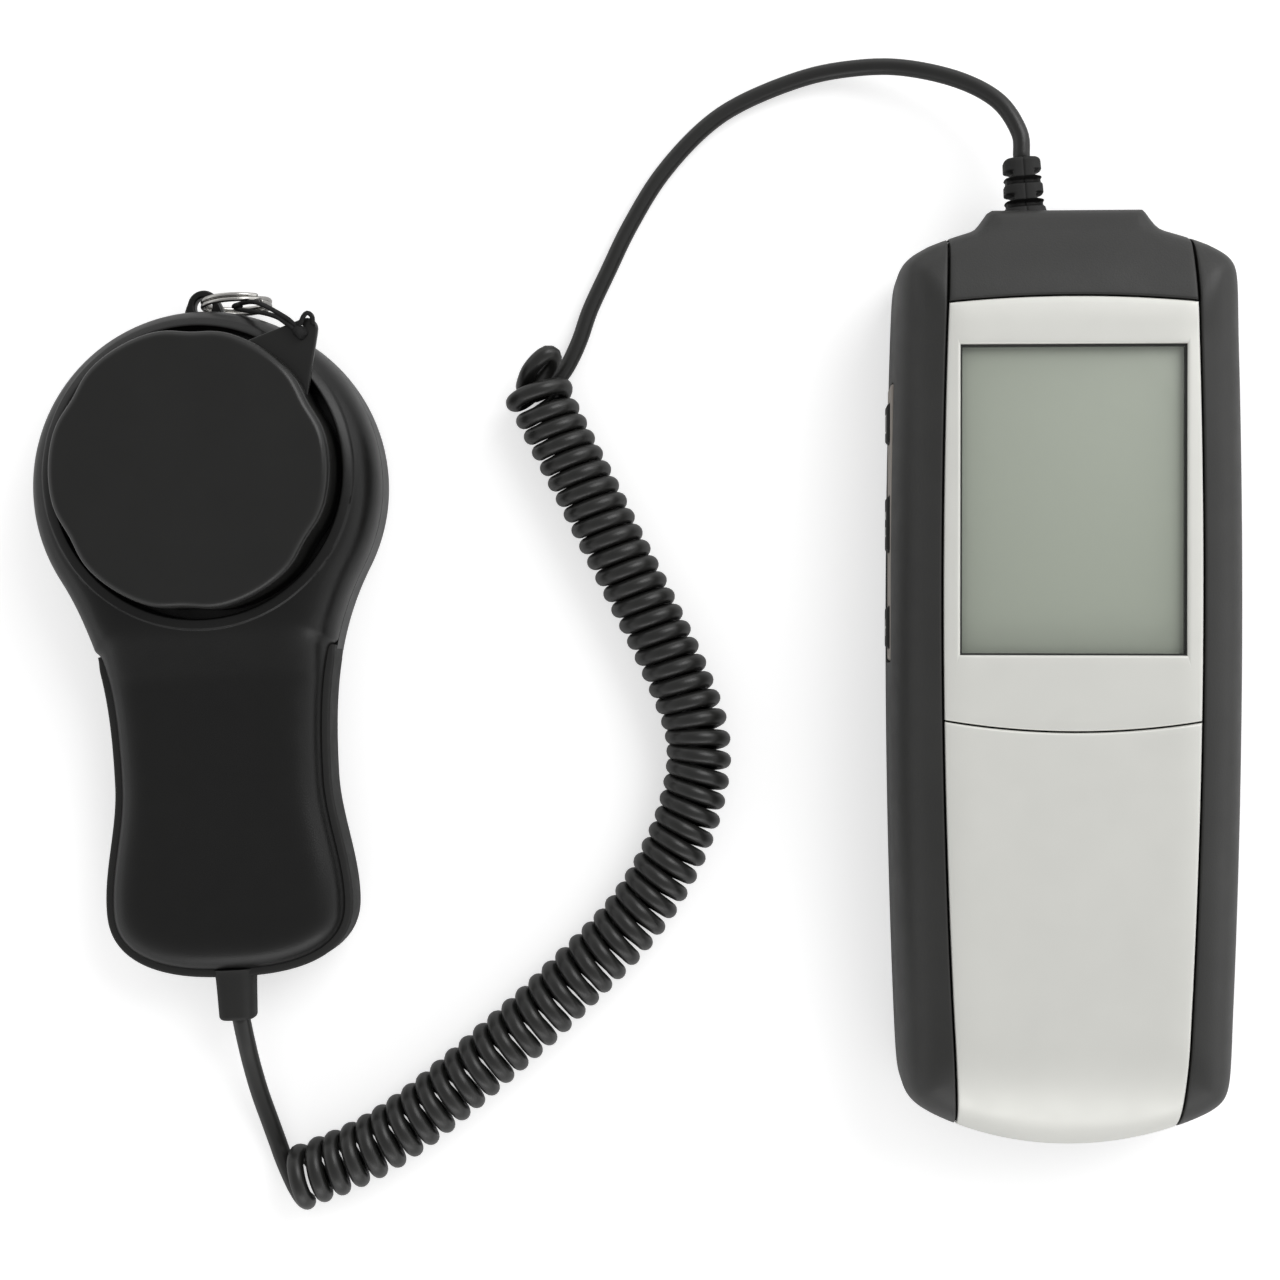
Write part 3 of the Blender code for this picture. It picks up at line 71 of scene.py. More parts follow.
# Meter housing, in millimetres
METER_LENGTH = 161.2
METER_WIDTH = 60.3
METER_HEIGHT = 28.0
BODY_HIGH_Y = METER_LENGTH / 2 - 1.4
WIDEST_Y = 12.0
SIDE_RADIUS = 1640.0
LOWER_END_RADIUS = 52.0
UPPER_END_RADIUS = 59.0
CORNER_POWER = 14.0
PARTING_Z = 12.0
PARTING_GAP = 0.15
SLOPE_LENGTH = 21.0
SLOPE_DROP = 9.0
CROWN_POWER = 2.8
CROWN_RUN = 14.0
END_CROWN_RUN = 6.0
NUB_CROWN_RUN = 3.6
END_BLEND = (24.0, 6.0)  # stretch from each end where the crown tightens
NUB_PLATEAU = 0.84
BACK_ROUND = 4.5
NUB_HALF_WIDTH = 13.2
NUB_SLOPE = 1.45
NUB_SHARPNESS = 2.6
SEAM_HALF_WIDTH = 21.75
SEAM_WIDEST_Y = 15.0
SEAM_RADIUS = 1370.0
SEAM_GAP = 0.4
CAP_SEAM = (63.2, 1.15)
PANEL_SEAM = (-7.35, -1.85)
FRONT_WALL = 1.6
WINDOW_HALF = (18.85, 26.1)
WINDOW_Y = 29.9
DOOR_HALF = 15.5
DOOR_HIGH_Y = -20.5
KEY_PLATE = (2.8, 50.6)
KEY_PLATE_HALF = 5.0
KEY_Z = 12.0
KEY_HALF = 3.0
KEYS = (("power_key", 44.1, 6.8), ("hold_key", 26.6, 9.6), ("range_key", 8.6, 7.2))
MARKS = {
    "power_key": ((-1.6, -1.4, 1.6, -1.15), (-1.6, 1.15, 1.6, 1.4), (-1.6, -1.4, -1.35, 1.4),
                  (1.35, -1.4, 1.6, 1.4)),
    "hold_key": ((-2.2, -0.9, -1.9, 0.9), (-0.8, -0.9, -0.5, 0.9), (-2.2, -0.15, -0.5, 0.15),
                 (0.8, -0.9, 2.2, -0.6), (0.8, 0.6, 2.2, 0.9), (0.8, -0.15, 2.2, 0.15)),
    "range_key": ((-1.5, -0.2, 1.5, 0.2), (-0.2, -1.3, 0.2, 1.3))}
LEAD_BORE = (-7.0, 11.6, 3.1)
SCREW_PIT = (2.8, 5.2)
REAR_SCREWS = ((-20.0, 67.0), (20.0, 67.0), (-22.0, -52.0), (22.0, -52.0))

# Sensor paddle, in its own frame
PADDLE_ORIGIN = (-150.5, 33.4)
PADDLE_TURN = math.radians(3.3)
HEAD_RADIUS = 31.1
NECK_START_Y = -15.5
WAIST_Y = -52.3
WAIST_HALF_WIDTH = 19.15
HEEL_Y = -73.8
HEEL_HALF_WIDTH = 21.85
HEEL_LENGTH = 13.0
HEEL_POWER = 2.5
HEAD_HEIGHT = 20.0
HANDLE_HEIGHT = 16.5
SHOULDER = (-36.0, -23.0)
PADDLE_PARTING_Z = 10.0
PADDLE_CROWN_RUN = 8.0
PADDLE_CROWN_POWER = 2.6
PADDLE_BACK_ROUND = 3.5
BAND_HIGH_Y = -29.3
BAND_Z = (4.0, 12.4)
BAND_PROUD = 0.3
BAND_LEDGE = 0.85
RECESS_Y = 1.95
RECESS_RADIUS = 25.6
RECESS_FLOOR = 13.0
CHORD_Y = -33.0
SENSOR_SCREWS = ((-19.5, 10.0), (19.5, 10.0), (-11.0, -64.0), (11.0, -64.0))
EAR_HOLE = (0.0, 32.7)
EAR_Z = (5.3, 7.9)
RING_RADIUS = 5.95
RING_WIRE = 0.42
TETHER_RADIUS = 0.42
CAP_RADIUS = 24.5
CAP_TOP = 26.6
CAP_SKIRT = 14.0
TAB_ANGLE = math.radians(48.0)
TAB_TIP = 31.6
TAB_Z = (20.6, 21.9)

# Lead
LEAD_RADIUS = 1.48
COIL_OUTER = 5.8
COIL_TURNS = 53.5
COIL_EXTRA = 0.15
PATH_STEP = 0.75
COIL_STARTS = (268, 300)  # samples of the path from the meter, where the strand thickens
COIL_ENDS = (62, 50)  # samples from the paddle
METER_LEAD = ((-7.0, 90.7, 11.6), (-7.4, 95.2, 11.4), (-11.0, 101.0, 10.2),
              (-18.0, 105.4, 8.0), (-27.7, 108.3, 5.2), (-36.6, 108.7, 3.0),
              (-45.5, 107.2, 1.9), (-56.2, 103.0, 1.5), (-63.4, 98.0, 1.5),
              (-70.6, 90.0, 1.5), (-76.1, 81.0, 1.5), (-80.0, 72.9, 1.5),
              (-83.2, 66.0, 1.5), (-85.1, 60.5, 1.5), (-87.2, 56.0, 1.5))
KINKED_LOOP = ((-89.2, 53.3, 1.5), (-91.6, 51.4, 1.5), (-93.8, 50.6, 1.9), (-94.9, 51.5, 3.6),
               (-94.5, 52.8, 5.6), (-93.5, 54.4, 7.6), (-91.9, 56.1, 8.6), (-90.3, 57.2, 8.6),
               (-89.3, 56.9, 7.4), (-89.7, 55.6, 5.9), (-90.8, 54.2, 5.2), (-91.9, 52.5, 5.2),
               (-93.3, 50.5, 4.9), (-95.2, 49.1, 4.3), (-96.4, 48.6, 5.5), (-96.1, 48.9, 7.6),
               (-94.2, 49.8, 9.5), (-91.5, 50.7, 10.0), (-88.9, 51.4, 8.7), (-87.5, 51.5, 5.9),
               (-88.3, 50.2, 3.0), (-91.1, 48.2, 1.6), (-93.5, 46.4, 3.0))
COIL_AXIS = ((-90.8, 47.4), (-89.0, 43.8), (-87.5, 40.9), (-83.4, 33.0), (-78.0, 22.2),
             (-72.6, 11.6), (-67.9, 1.8), (-64.4, -7.0), (-63.3, -12.8), (-63.7, -18.8),
             (-65.6, -26.2), (-68.8, -33.6), (-73.1, -40.8), (-78.4, -47.3), (-84.7, -53.6),
             (-91.1, -59.9), (-98.3, -66.3), (-105.5, -72.6), (-112.8, -78.6),
             (-120.0, -83.6), (-127.0, -87.2), (-131.2, -88.9), (-135.0, -90.5))
COIL_HEIGHT = 5.8
PADDLE_LEAD = ((-134.6, -94.6, 3.0), (-135.9, -93.4, 1.6), (-137.5, -90.2, 1.5),
               (-139.1, -86.3, 1.5), (-141.0, -80.4, 2.6), (-142.4, -75.5, 4.0),
               (-143.5, -70.1, 5.9), (-144.2, -65.0, 8.0), (-144.7, -60.9, 9.5))


def new_object(name, data):
    made = bpy.data.objects.new(name, data)
    bpy.context.scene.collection.objects.link(made)
    return made


def placed(x, y, z=0.0, turn=0.0):
    """A place in millimetres, turned about Z."""
    return Matrix.Translation(Vector((x, y, z)) * MM) @ Matrix.Rotation(turn, 4, "Z")


def turned(degrees, axis):
    return Matrix.Rotation(math.radians(degrees), 4, axis)


PADDLE = placed(*PADDLE_ORIGIN, turn=PADDLE_TURN)
COLLECTOR = PADDLE @ placed(0, RECESS_Y)


# Camera, light and floor

def add_camera():
    place, target = Vector(CAMERA_PLACE) * MM, Vector(CAMERA_TARGET) * MM
    forward = (target - place).normalized()
    level = Vector((math.sin(CAMERA_ROLL), math.cos(CAMERA_ROLL), 0))
    right = forward.cross(level).normalized()
    up = right.cross(forward)
    data = bpy.data.cameras.new("camera")
    data.sensor_width = SENSOR_WIDTH
    data.lens = FOCAL_PIXELS / FRAME_PIXELS * SENSOR_WIDTH
    camera = new_object("camera", data)
    turn = Matrix((right, up, -forward)).transposed().to_4x4()
    camera.matrix_world = placed(*CAMERA_PLACE) @ turn
    bpy.context.scene.camera = camera


def add_lamp(name, place, target, width, power):
    data = bpy.data.lights.new(name, "AREA")
    data.shape = "RECTANGLE"
    data.size, data.size_y = width
    data.energy = power
    lamp = new_object(name, data)
    lamp.location = place
    aim = Vector(target) - Vector(place)
    lamp.rotation_euler = aim.to_track_quat("-Z", "Y").to_euler()


def calculate(tree, operation, *values):
    """The output of a maths node, fed with numbers and with other nodes' outputs."""
    node = tree.nodes.new("ShaderNodeMath")
    node.operation = operation
    for socket, value in zip(node.inputs, values):
        if isinstance(value, float):
            socket.default_value = value
        else:
            tree.links.new(value, socket)
    return node.outputs[0]


def seen_directly(tree):
    """One where a camera or transmission ray meets the surface."""
    path = tree.nodes.new("ShaderNodeLightPath").outputs
    return calculate(tree, "MAXIMUM", path["Is Camera Ray"], path["Is Transmission Ray"])


def add_world():
    world = bpy.data.worlds.new("studio")
    world.use_nodes = True
    tree = world.node_tree
    light = tree.nodes["Background"]
    light.inputs["Color"].default_value = (1, 1, 1, 1)
    toward = tree.nodes.new("ShaderNodeVectorMath")
    toward.operation = "DOT_PRODUCT"
    toward.inputs[1].default_value = CEILING_SIDE
    tree.links.new(tree.nodes.new("ShaderNodeTexCoord").outputs["Generated"], toward.inputs[0])
    away = calculate(tree, "SUBTRACT", 1.0, toward.outputs["Value"])
    glow = calculate(tree, "POWER", away, 2.0)
    strength = calculate(tree, "MULTIPLY_ADD", glow, HORIZON_LIGHT, CEILING_LIGHT)
    tree.links.new(strength, light.inputs["Strength"])
    shown = tree.nodes.new("ShaderNodeBackground")
    shown.inputs["Color"].default_value = (1, 1, 1, 1)
    shown.inputs["Strength"].default_value = 1.0
    mix = tree.nodes.new("ShaderNodeMixShader")
    tree.links.new(seen_directly(tree), mix.inputs[0])
    tree.links.new(light.outputs[0], mix.inputs[1])
    tree.links.new(shown.outputs[0], mix.inputs[2])
    tree.links.new(mix.outputs[0], tree.nodes["World Output"].inputs[0])
    bpy.context.scene.world = world


def add_floor():
    mesh = bpy.data.meshes.new("floor")
    half = FLOOR_HALF
    mesh.from_pydata([(-half, -half, 0), (half, -half, 0), (half, half, 0), (-half, half, 0)],
                     [], [(0, 1, 2, 3)])
    floor = new_object("floor", mesh)
    floor.location.z = -FLOOR_DROP
    finish = bpy.data.materials.new("floor_white")
    finish.use_nodes = True
    tree = finish.node_tree
    shader = tree.nodes["Principled BSDF"]
    shader.inputs["Base Color"].default_value = (0.8, 0.8, 0.8, 1)
    shader.inputs["Roughness"].default_value = 0.9
    shader.inputs["Specular IOR Level"].default_value = 0.0
    shader.inputs["Emission Color"].default_value = (1, 1, 1, 1)
    lift = calculate(tree, "MULTIPLY", seen_directly(tree), FLOOR_LIFT)
    tree.links.new(lift, shader.inputs["Emission Strength"])
    mesh.materials.append(finish)


def add_studio():
    add_camera()
    add_world()
    add_floor()
    add_lamp("key_lamp", (0.62, 0.75, 0.95), (-0.08, 0, 0), (0.8, 0.8), 7.0)
    add_lamp("near_lamp", (0.1, -1.25, 0.5), (-0.05, 0, 0), (1.2, 0.3), 2.4)
    bpy.context.scene.view_settings.view_transform = "Standard"


# Materials

def noise(tree, scale, detail, place, roughness=0.5):
    made = tree.nodes.new("ShaderNodeTexNoise")
    made.inputs["Scale"].default_value = scale
    made.inputs["Detail"].default_value = detail
    made.inputs["Roughness"].default_value = roughness
    tree.links.new(place, made.inputs["Vector"])
    return made.outputs["Fac"]


def ramp(tree, value, low, high, start=0.3, end=0.7):
    """Carries a value from one colour to another."""
    made = tree.nodes.new("ShaderNodeValToRGB")
    made.color_ramp.elements[0].position = start
    made.color_ramp.elements[1].position = end
    made.color_ramp.elements[0].color = (*low, 1)
    made.color_ramp.elements[1].color = (*high, 1)
    tree.links.new(value, made.inputs["Fac"])
    return made.outputs["Color"]


def spread(tree, value, low, high):
    made = tree.nodes.new("ShaderNodeMapRange")
    made.inputs["From Min"].default_value = 0.3
    made.inputs["From Max"].default_value = 0.7
    made.inputs["To Min"].default_value = low
    made.inputs["To Max"].default_value = high
    tree.links.new(value, made.inputs["Value"])
    return made.outputs["Result"]


def surface(name, colour, roughness, grain=0.0, grain_scale=2600.0, variation=0.08,
            metallic=0.0, specular=0.5, alpha=1.0):
    """A moulded or painted surface with fine grain, faint mottling and uneven gloss."""
    finish = bpy.data.materials.new(name)
    finish.use_nodes = True
    tree = finish.node_tree
    shader = tree.nodes["Principled BSDF"]
    shader.inputs["Metallic"].default_value = metallic
    shader.inputs["Specular IOR Level"].default_value = specular
    shader.inputs["Alpha"].default_value = alpha
    place = tree.nodes.new("ShaderNodeTexCoord").outputs["Object"]
    mottle = noise(tree, 90.0, 4.0, place)
    low = tuple(c * (1 - variation) for c in colour)
    high = tuple(min(c * (1 + variation), 1.0) for c in colour)
    tree.links.new(ramp(tree, mottle, low, high), shader.inputs["Base Color"])
    gloss = noise(tree, 240.0, 3.0, place)
    tree.links.new(spread(tree, gloss, roughness * 0.92, roughness * 1.08),
                   shader.inputs["Roughness"])
    if grain:
        bump = tree.nodes.new("ShaderNodeBump")
        bump.inputs["Strength"].default_value = grain
        bump.inputs["Distance"].default_value = 0.00006
        tree.links.new(noise(tree, grain_scale, 2.0, place, 0.6), bump.inputs["Height"])
        tree.links.new(bump.outputs["Normal"], shader.inputs["Normal"])
    finish.diffuse_color = (*colour, 1)
    return finish


SLOT_FINISHES = {
    "dark_grey_plastic": surface("rail_plastic", (0.027, 0.027, 0.0258), 0.46, 0.35,
                                 specular=0.42),
    "silver_paint": surface("silver_paint", (0.745, 0.745, 0.705), 0.44, 0.10, 5200.0, 0.012,
                            metallic=0.25),
    "window_glass": surface("window_glass", (0.42, 0.46, 0.42), 0.05, 0.0, variation=0.0,
                            alpha=0.10),
    "display_cell": surface("display_cell", (0.355, 0.395, 0.335), 0.5, 0.05, 9000.0, 0.02),
    "black_plastic": surface("paddle_plastic", (0.0030, 0.0030, 0.0028), 0.34, 0.36, 3400.0,
                             specular=0.38),
    "contact_elastomer": surface("contact_elastomer", (0.55, 0.30, 0.28), 0.7, 0.2),
    "board_green": surface("board_green", (0.02, 0.12, 0.05), 0.45, 0.1, 900.0, 0.2),
    "chip_black": surface("chip_black", (0.012, 0.012, 0.014), 0.5, 0.2),
    "key_plate_grey": surface("key_plate_grey", (0.30, 0.27, 0.24), 0.5, 0.15),
    "black_rubber": surface("black_rubber", (0.014, 0.014, 0.0135), 0.62, 0.45, 3000.0,
                            specular=0.35),
    "cord_jacket": surface("cord_jacket", (0.0120, 0.0120, 0.0112), 0.36, 0.22, 2000.0,
                           specular=0.5),
    "steel": surface("bright_steel", (0.50, 0.49, 0.47), 0.16, 0.05, 4000.0, 0.04,
                     metallic=1.0),
    "battery_jacket": surface("battery_jacket", (0.10, 0.10, 0.11), 0.3, 0.05, 900.0, 0.05),
    "foam": surface("foam", (0.05, 0.05, 0.05), 0.95, 1.0, 1500.0, 0.3),
    "diffuser_white": surface("diffuser_white", (0.85, 0.85, 0.83), 0.5, 0.1),
    "filter_glass": surface("filter_glass", (0.10, 0.22, 0.24), 0.08, 0.0),
}
MARK_WHITE = surface("mark_white", (0.72, 0.72, 0.70), 0.55, 0.1)
CAP_BLACK = surface("cap_plastic", (0.0105, 0.0105, 0.0100), 0.30, 0.14, 3400.0,
                    specular=0.42)
WEB_BLACK = surface("web_black", (0.009, 0.009, 0.009), 0.75, 0.8, 5200.0, specular=0.3)


# Meshes

def shade(mesh):
    mesh.shade_smooth()
    mesh.set_sharp_from_angle(angle=math.radians(SHARP_ANGLE))


def add_piece(name, mesh, body, slot, nodes=(), finish=None):
    """Makes a piece that rides on a body and takes a slot's finish."""
    mesh.name = name
    mesh.materials.clear()
    mesh.materials.append(finish or SLOT_FINISHES[slot])
    shade(mesh)
    piece = new_object(name, mesh)
    if body:
        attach(piece, body)
    if nodes:
        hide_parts(*nodes)
    return piece


def mesh_of(grids, weld=2e-6, place=None):
    """One closed mesh from grids of points in millimetres that share their borders."""
    points, faces, start = [], [], 0
    for grid in grids:
        grid = np.asarray(grid, float)
        rows, columns = grid.shape[:2]
        points.append(grid.reshape(-1, 3))
        index = np.arange(rows * columns).reshape(rows, columns) + start
        quads = np.stack([index[:-1, :-1], index[:-1, 1:], index[1:, 1:], index[1:, :-1]], -1)
        faces.append(quads.reshape(-1, 4))
        start += rows * columns
    mesh = bpy.data.meshes.new("mesh")
    mesh.from_pydata((np.concatenate(points) * MM).tolist(), [],
                     np.concatenate(faces).tolist())
    solid = bmesh.new()
    solid.from_mesh(mesh)
    bmesh.ops.remove_doubles(solid, verts=solid.verts, dist=weld)
    bmesh.ops.dissolve_degenerate(solid, edges=solid.edges, dist=weld / 2)
    bmesh.ops.recalc_face_normals(solid, faces=solid.faces)
    if place is not None:
        solid.transform(place)
    solid.to_mesh(mesh)
    solid.free()
    return mesh


def with_z(plan, z):
    """A row or grid of plan points at these heights."""
    return np.concatenate([plan, np.broadcast_to(z, plan.shape[:-1])[..., None]], -1)


def mirrored(edge):
    """A right half outline and its mirror image, as one loop."""
    return np.concatenate([edge, (edge * (-1, 1))[::-1][1:]])


def circle(centre, radius, angles):
    return np.stack([centre[0] + radius * np.cos(angles), centre[1] + radius * np.sin(angles)],
                    -1)


def directions(path):
    along = np.gradient(path, axis=0)
    return along / np.linalg.norm(along, axis=1)[:, None]


def upright(angles, reach, height):
    """A level row of points at these distances from the Z axis."""
    return np.stack([reach * np.cos(angles), reach * np.sin(angles),
                     np.full(len(angles), height)], -1)


def polyline_distance(points, line):
    """Distance from each point to the nearest place on a line of points."""
    start = line[:-1]
    along = line[1:] - start
    length = np.maximum((along ** 2).sum(-1), 1e-12)
    flat = np.asarray(points, float).reshape(-1, 2)
    found = np.empty(len(flat))
    for low in range(0, len(flat), 2000):
        apart = flat[low:low + 2000, None] - start[None]
        share = np.clip((apart * along).sum(-1) / length, 0, 1)
        gap = apart - share[..., None] * along
        found[low:low + 2000] = np.sqrt((gap ** 2).sum(-1).min(1))
    return found.reshape(np.shape(points)[:-1])


def ring_distance(plan, outer, inner):
    """Distance from each point to the nearer border of a ring."""
    return np.minimum(polyline_distance(plan, outer), polyline_distance(plan, inner))


def resample(line, count):
    """The same line with this many points, evenly spaced."""
    line = np.asarray(line, float)
    run = np.concatenate([[0], np.cumsum(np.linalg.norm(np.diff(line, axis=0), axis=1))])
    places = np.linspace(0, run[-1], count)
    return np.stack([np.interp(places, run, line[:, k]) for k in range(line.shape[1])], -1)


SEAM_STEPS = np.array((0.0, 0.03, 0.09, 0.17, 0.28, 0.42))
ROUND_STEPS = np.array((0.0, 0.004, 0.016, 0.05, 0.12, 0.24, 0.42, 0.7, 1.1, 1.6, 2.3, 3.2, 4.4))
FILLET = 0.4


def fractions(length, start, end, count):
    """Places along a line from 0 to 1, at the given steps from its ends and even between."""
    need = start[-1] + end[-1]
    scale = min(1.0, 0.8 * length / need) if need > 0 else 1.0
    lead, tail = start * scale, end * scale
    middle = np.linspace(lead[-1], length - tail[-1], count + 2)[1:-1]
    places = np.concatenate([lead, middle, length - tail[::-1]])
    return places / length if length > 1e-9 else np.linspace(0, 1, len(places))


def cross_lines(first, second, start, end, count):
    """A plan grid of straight lines from each point of one border to the same of another."""
    rows = []
    for a, b in zip(first, second):
        share = fractions(np.linalg.norm(b - a), start, end, count)[:, None]
        rows.append(a + (b - a) * share)
    return np.array(rows)


def fillet_drop(distance, radius=FILLET):
    """How far a rounded edge lies below its face at this distance in from the border."""
    inside = np.clip(radius - distance, 0, radius)
    return radius - np.sqrt(radius ** 2 - inside ** 2)


def crown(distance, run, power):
    """Share of the full height at this distance in from an outline."""
    share = np.clip(1 - distance / run, 0, 1)
    return (1 - share ** power) ** (1 / power)


def smoothstep(value, low, high):
    t = np.clip((value - low) / (high - low), 0, 1)
    return t * t * (3 - 2 * t)


def skirt(upper, lower, steps=2):
    """A wall between two borders."""
    share = np.linspace(0, 1, steps)[:, None, None]
    return np.asarray(upper)[None] * (1 - share) + np.asarray(lower)[None] * share


def ring_slab(top, bottom):
    """Grids of the closed solid between two layers whose plan is a closed ring."""
    return [top, bottom, skirt(top[:, 0], bottom[:, 0]), skirt(top[:, -1], bottom[:, -1])]


def slab(top, bottom):
    """Grids of the closed solid between two layers with the same plan."""
    return [*ring_slab(top, bottom), skirt(top[0], bottom[0]), skirt(top[-1], bottom[-1])]


def cut(target, mesh):
    """Cuts a mesh out of a piece."""
    tool = new_object("tool", mesh)
    modifier = target.modifiers.new("cut", "BOOLEAN")
    modifier.operation = "DIFFERENCE"
    modifier.solver = "EXACT"
    modifier.object = tool
    bpy.context.view_layer.update()
    graph = bpy.context.evaluated_depsgraph_get()
    result = bpy.data.meshes.new_from_object(target.evaluated_get(graph))
    target.modifiers.clear()
    target.data = result
    bpy.data.objects.remove(tool)
    shade(target.data)


def box_mesh(low, high, bevel=0.0, segments=3, place=None):
    solid = bmesh.new()
    bmesh.ops.create_cube(solid, size=1.0)
    low, high = Vector(low) * MM, Vector(high) * MM
    size = high - low
    bmesh.ops.transform(solid, verts=solid.verts, matrix=Matrix.Translation((low + high) / 2)
                        @ Matrix.Diagonal((*size, 1.0)))
    if bevel:
        bmesh.ops.bevel(solid, geom=solid.edges, offset=bevel * MM, segments=segments,
                        profile=0.5, affect="EDGES")
    if place is not None:
        solid.transform(place)
    mesh = bpy.data.meshes.new("mesh")
    solid.to_mesh(mesh)
    solid.free()
    return mesh


def lathe_grid(profile, segments=128, radius_at=None):
    """Rows of a closed profile of (radius, height) turned about Z."""
    angles = np.linspace(0, 2 * np.pi, segments + 1)
    rows = []
    for radius, height in profile:
        reach = radius_at(radius, height, angles) if radius_at else np.full(len(angles), radius)
        rows.append(upright(angles, reach, height))
    rows = np.array(rows)
    rows[:, -1] = rows[:, 0]
    return rows


def arc(centre, radius, start, end, steps=6):
    """Points of a (radius, height) profile on an arc, by angle in degrees."""
    angles = np.radians(np.linspace(start, end, steps + 1))
    return [(centre[0] + radius * math.cos(a), centre[1] + radius * math.sin(a))
            for a in angles]


# Meter outline and heights

def half_width(y):
    """Half the meter's width: long side arcs, joined to an arc at each end."""
    side = METER_WIDTH / 2 - (y - WIDEST_Y) ** 2 / (2 * SIDE_RADIUS)
    found = side
    for centre, radius, beyond in ((-METER_LENGTH / 2 + LOWER_END_RADIUS, LOWER_END_RADIUS, -1),
                                   (BODY_HIGH_Y - UPPER_END_RADIUS, UPPER_END_RADIUS, 1)):
        end = np.sqrt(np.maximum(radius ** 2 - (y - centre) ** 2, 0))
        low, high = np.minimum(found, end), np.maximum(found, end)
        joined = low * (1 + (low / high) ** CORNER_POWER) ** (-1 / CORNER_POWER)
        found = np.where((y - centre) * beyond > 0, joined, found)
    return found


def meter_outline():
    """Right half of the outline, from the lower tip to the middle of the nub."""
    low = -METER_LENGTH / 2
    t = np.linspace(0, 1, 700)
    y = low + (75.0 - low) * (1 - np.cos(np.pi * t / 2))
    side = np.stack([half_width(y), y], -1)
    side = side[(side[:, 0] > 24.0) | (side[:, 1] < 0)]
    x = np.linspace(side[-1, 0], 0, 260)[1:]
    body = BODY_HIGH_Y - UPPER_END_RADIUS + np.sqrt(UPPER_END_RADIUS ** 2 - x ** 2)
    nub = METER_LENGTH / 2 - NUB_SLOPE * np.maximum(x - NUB_HALF_WIDTH, 0)
    top = np.logaddexp(NUB_SHARPNESS * body, NUB_SHARPNESS * nub) / NUB_SHARPNESS
    top = np.where(x < NUB_HALF_WIDTH, METER_LENGTH / 2, np.minimum(top, METER_LENGTH / 2))
    weights = np.exp(-np.linspace(-2, 2, 15) ** 2)
    padded = np.concatenate([np.full(7, top[0]), top, np.full(7, top[-1])])
    top = np.convolve(padded, weights / weights.sum(), "valid")
    top[0] = body[0]
    return resample(np.concatenate([side, np.stack([x, top], -1)]), 900)


OUTLINE = meter_outline()
WHOLE_OUTLINE = mirrored(OUTLINE)
SIDE_WALL = -float(half_width(np.array(sum(KEY_PLATE) / 2)))
FRONT_BASE = PARTING_Z + PARTING_GAP


def top_height(y):
    """The crest of the front, which slopes down to both ends and levels off at the nub."""
    run = np.maximum(np.abs(y) - (METER_LENGTH / 2 - SLOPE_LENGTH), 0) / SLOPE_LENGTH
    held = run - np.logaddexp(0, 40 * (run - NUB_PLATEAU)) / 40
    return METER_HEIGHT - SLOPE_DROP * np.where(y > 0, held, run) ** 2


def front_z(plan):
    """Height of the front face over each point of a plan grid."""
    plan = np.asarray(plan)
    distance = polyline_distance(plan, WHOLE_OUTLINE)
    y = plan[..., 1]
    ends = smoothstep(np.abs(y), METER_LENGTH / 2 - END_BLEND[0], METER_LENGTH / 2 - END_BLEND[1])
    end_run = np.where(y > 0, NUB_CROWN_RUN, END_CROWN_RUN)
    run = CROWN_RUN + (end_run - CROWN_RUN) * ends
    return FRONT_BASE + (top_height(y) - FRONT_BASE) * crown(distance, run, CROWN_POWER)


def seam_x(y):
    return SEAM_HALF_WIDTH - (y - SEAM_WIDEST_Y) ** 2 / (2 * SEAM_RADIUS)


def seam_y(x, seam):
    """The bowed cross seam, given where it meets the rails and its rise."""
    share = np.minimum(np.abs(x) / SEAM_HALF_WIDTH, 1)
    return seam[0] + seam[1] * (1 - share ** 2)


def outline_y(x, upper):
    """Where the outline crosses a distance from the middle, at the upper or lower end."""
    half = OUTLINE[OUTLINE[:, 1] > 0] if upper else OUTLINE[OUTLINE[:, 1] < 0]
    half = half[half[:, 0] < 26.0]
    half = half[np.argsort(half[:, 0])]
    return np.interp(np.abs(x), half[:, 0], half[:, 1])


def seam_line(side, inset, count=240):
    """The seam between a rail and the panels, moved out by an inset, from tip to tip."""
    ys = []
    for upper in (False, True):
        y = outline_y(20.5, upper)
        for _ in range(20):
            y = outline_y(seam_x(y) + inset, upper)
        ys.append(float(y))
    y = np.linspace(ys[0], ys[1], count)
    return np.stack([side * (seam_x(y) + inset), y], -1)


def rail(side):
    """A dark side rail, from its seam out over the edge to the parting line."""
    seam = seam_line(side, SEAM_GAP / 2)
    edge = OUTLINE * (side, 1)
    inner = edge[np.abs(edge[:, 0]) > np.abs(seam[0, 0])]
    stretch = np.concatenate([seam[:1], inner[(inner[:, 1] > seam[0, 1])
                                              & (inner[:, 1] < seam[-1, 1])], seam[-1:]])
    count = 300
    plan = cross_lines(resample(seam, count), resample(stretch, count),
                       SEAM_STEPS, ROUND_STEPS, 4)
    z = front_z(plan) - fillet_drop(polyline_distance(plan, seam))
    z = np.maximum(z, FRONT_BASE)
    z[:, -1] = z[0] = z[-1] = FRONT_BASE
    top = with_z(plan, z)
    under = with_z(plan[:, [0, -1]], FRONT_BASE)
    return mesh_of([top, under, skirt(top[:, 0], under[:, 0])])


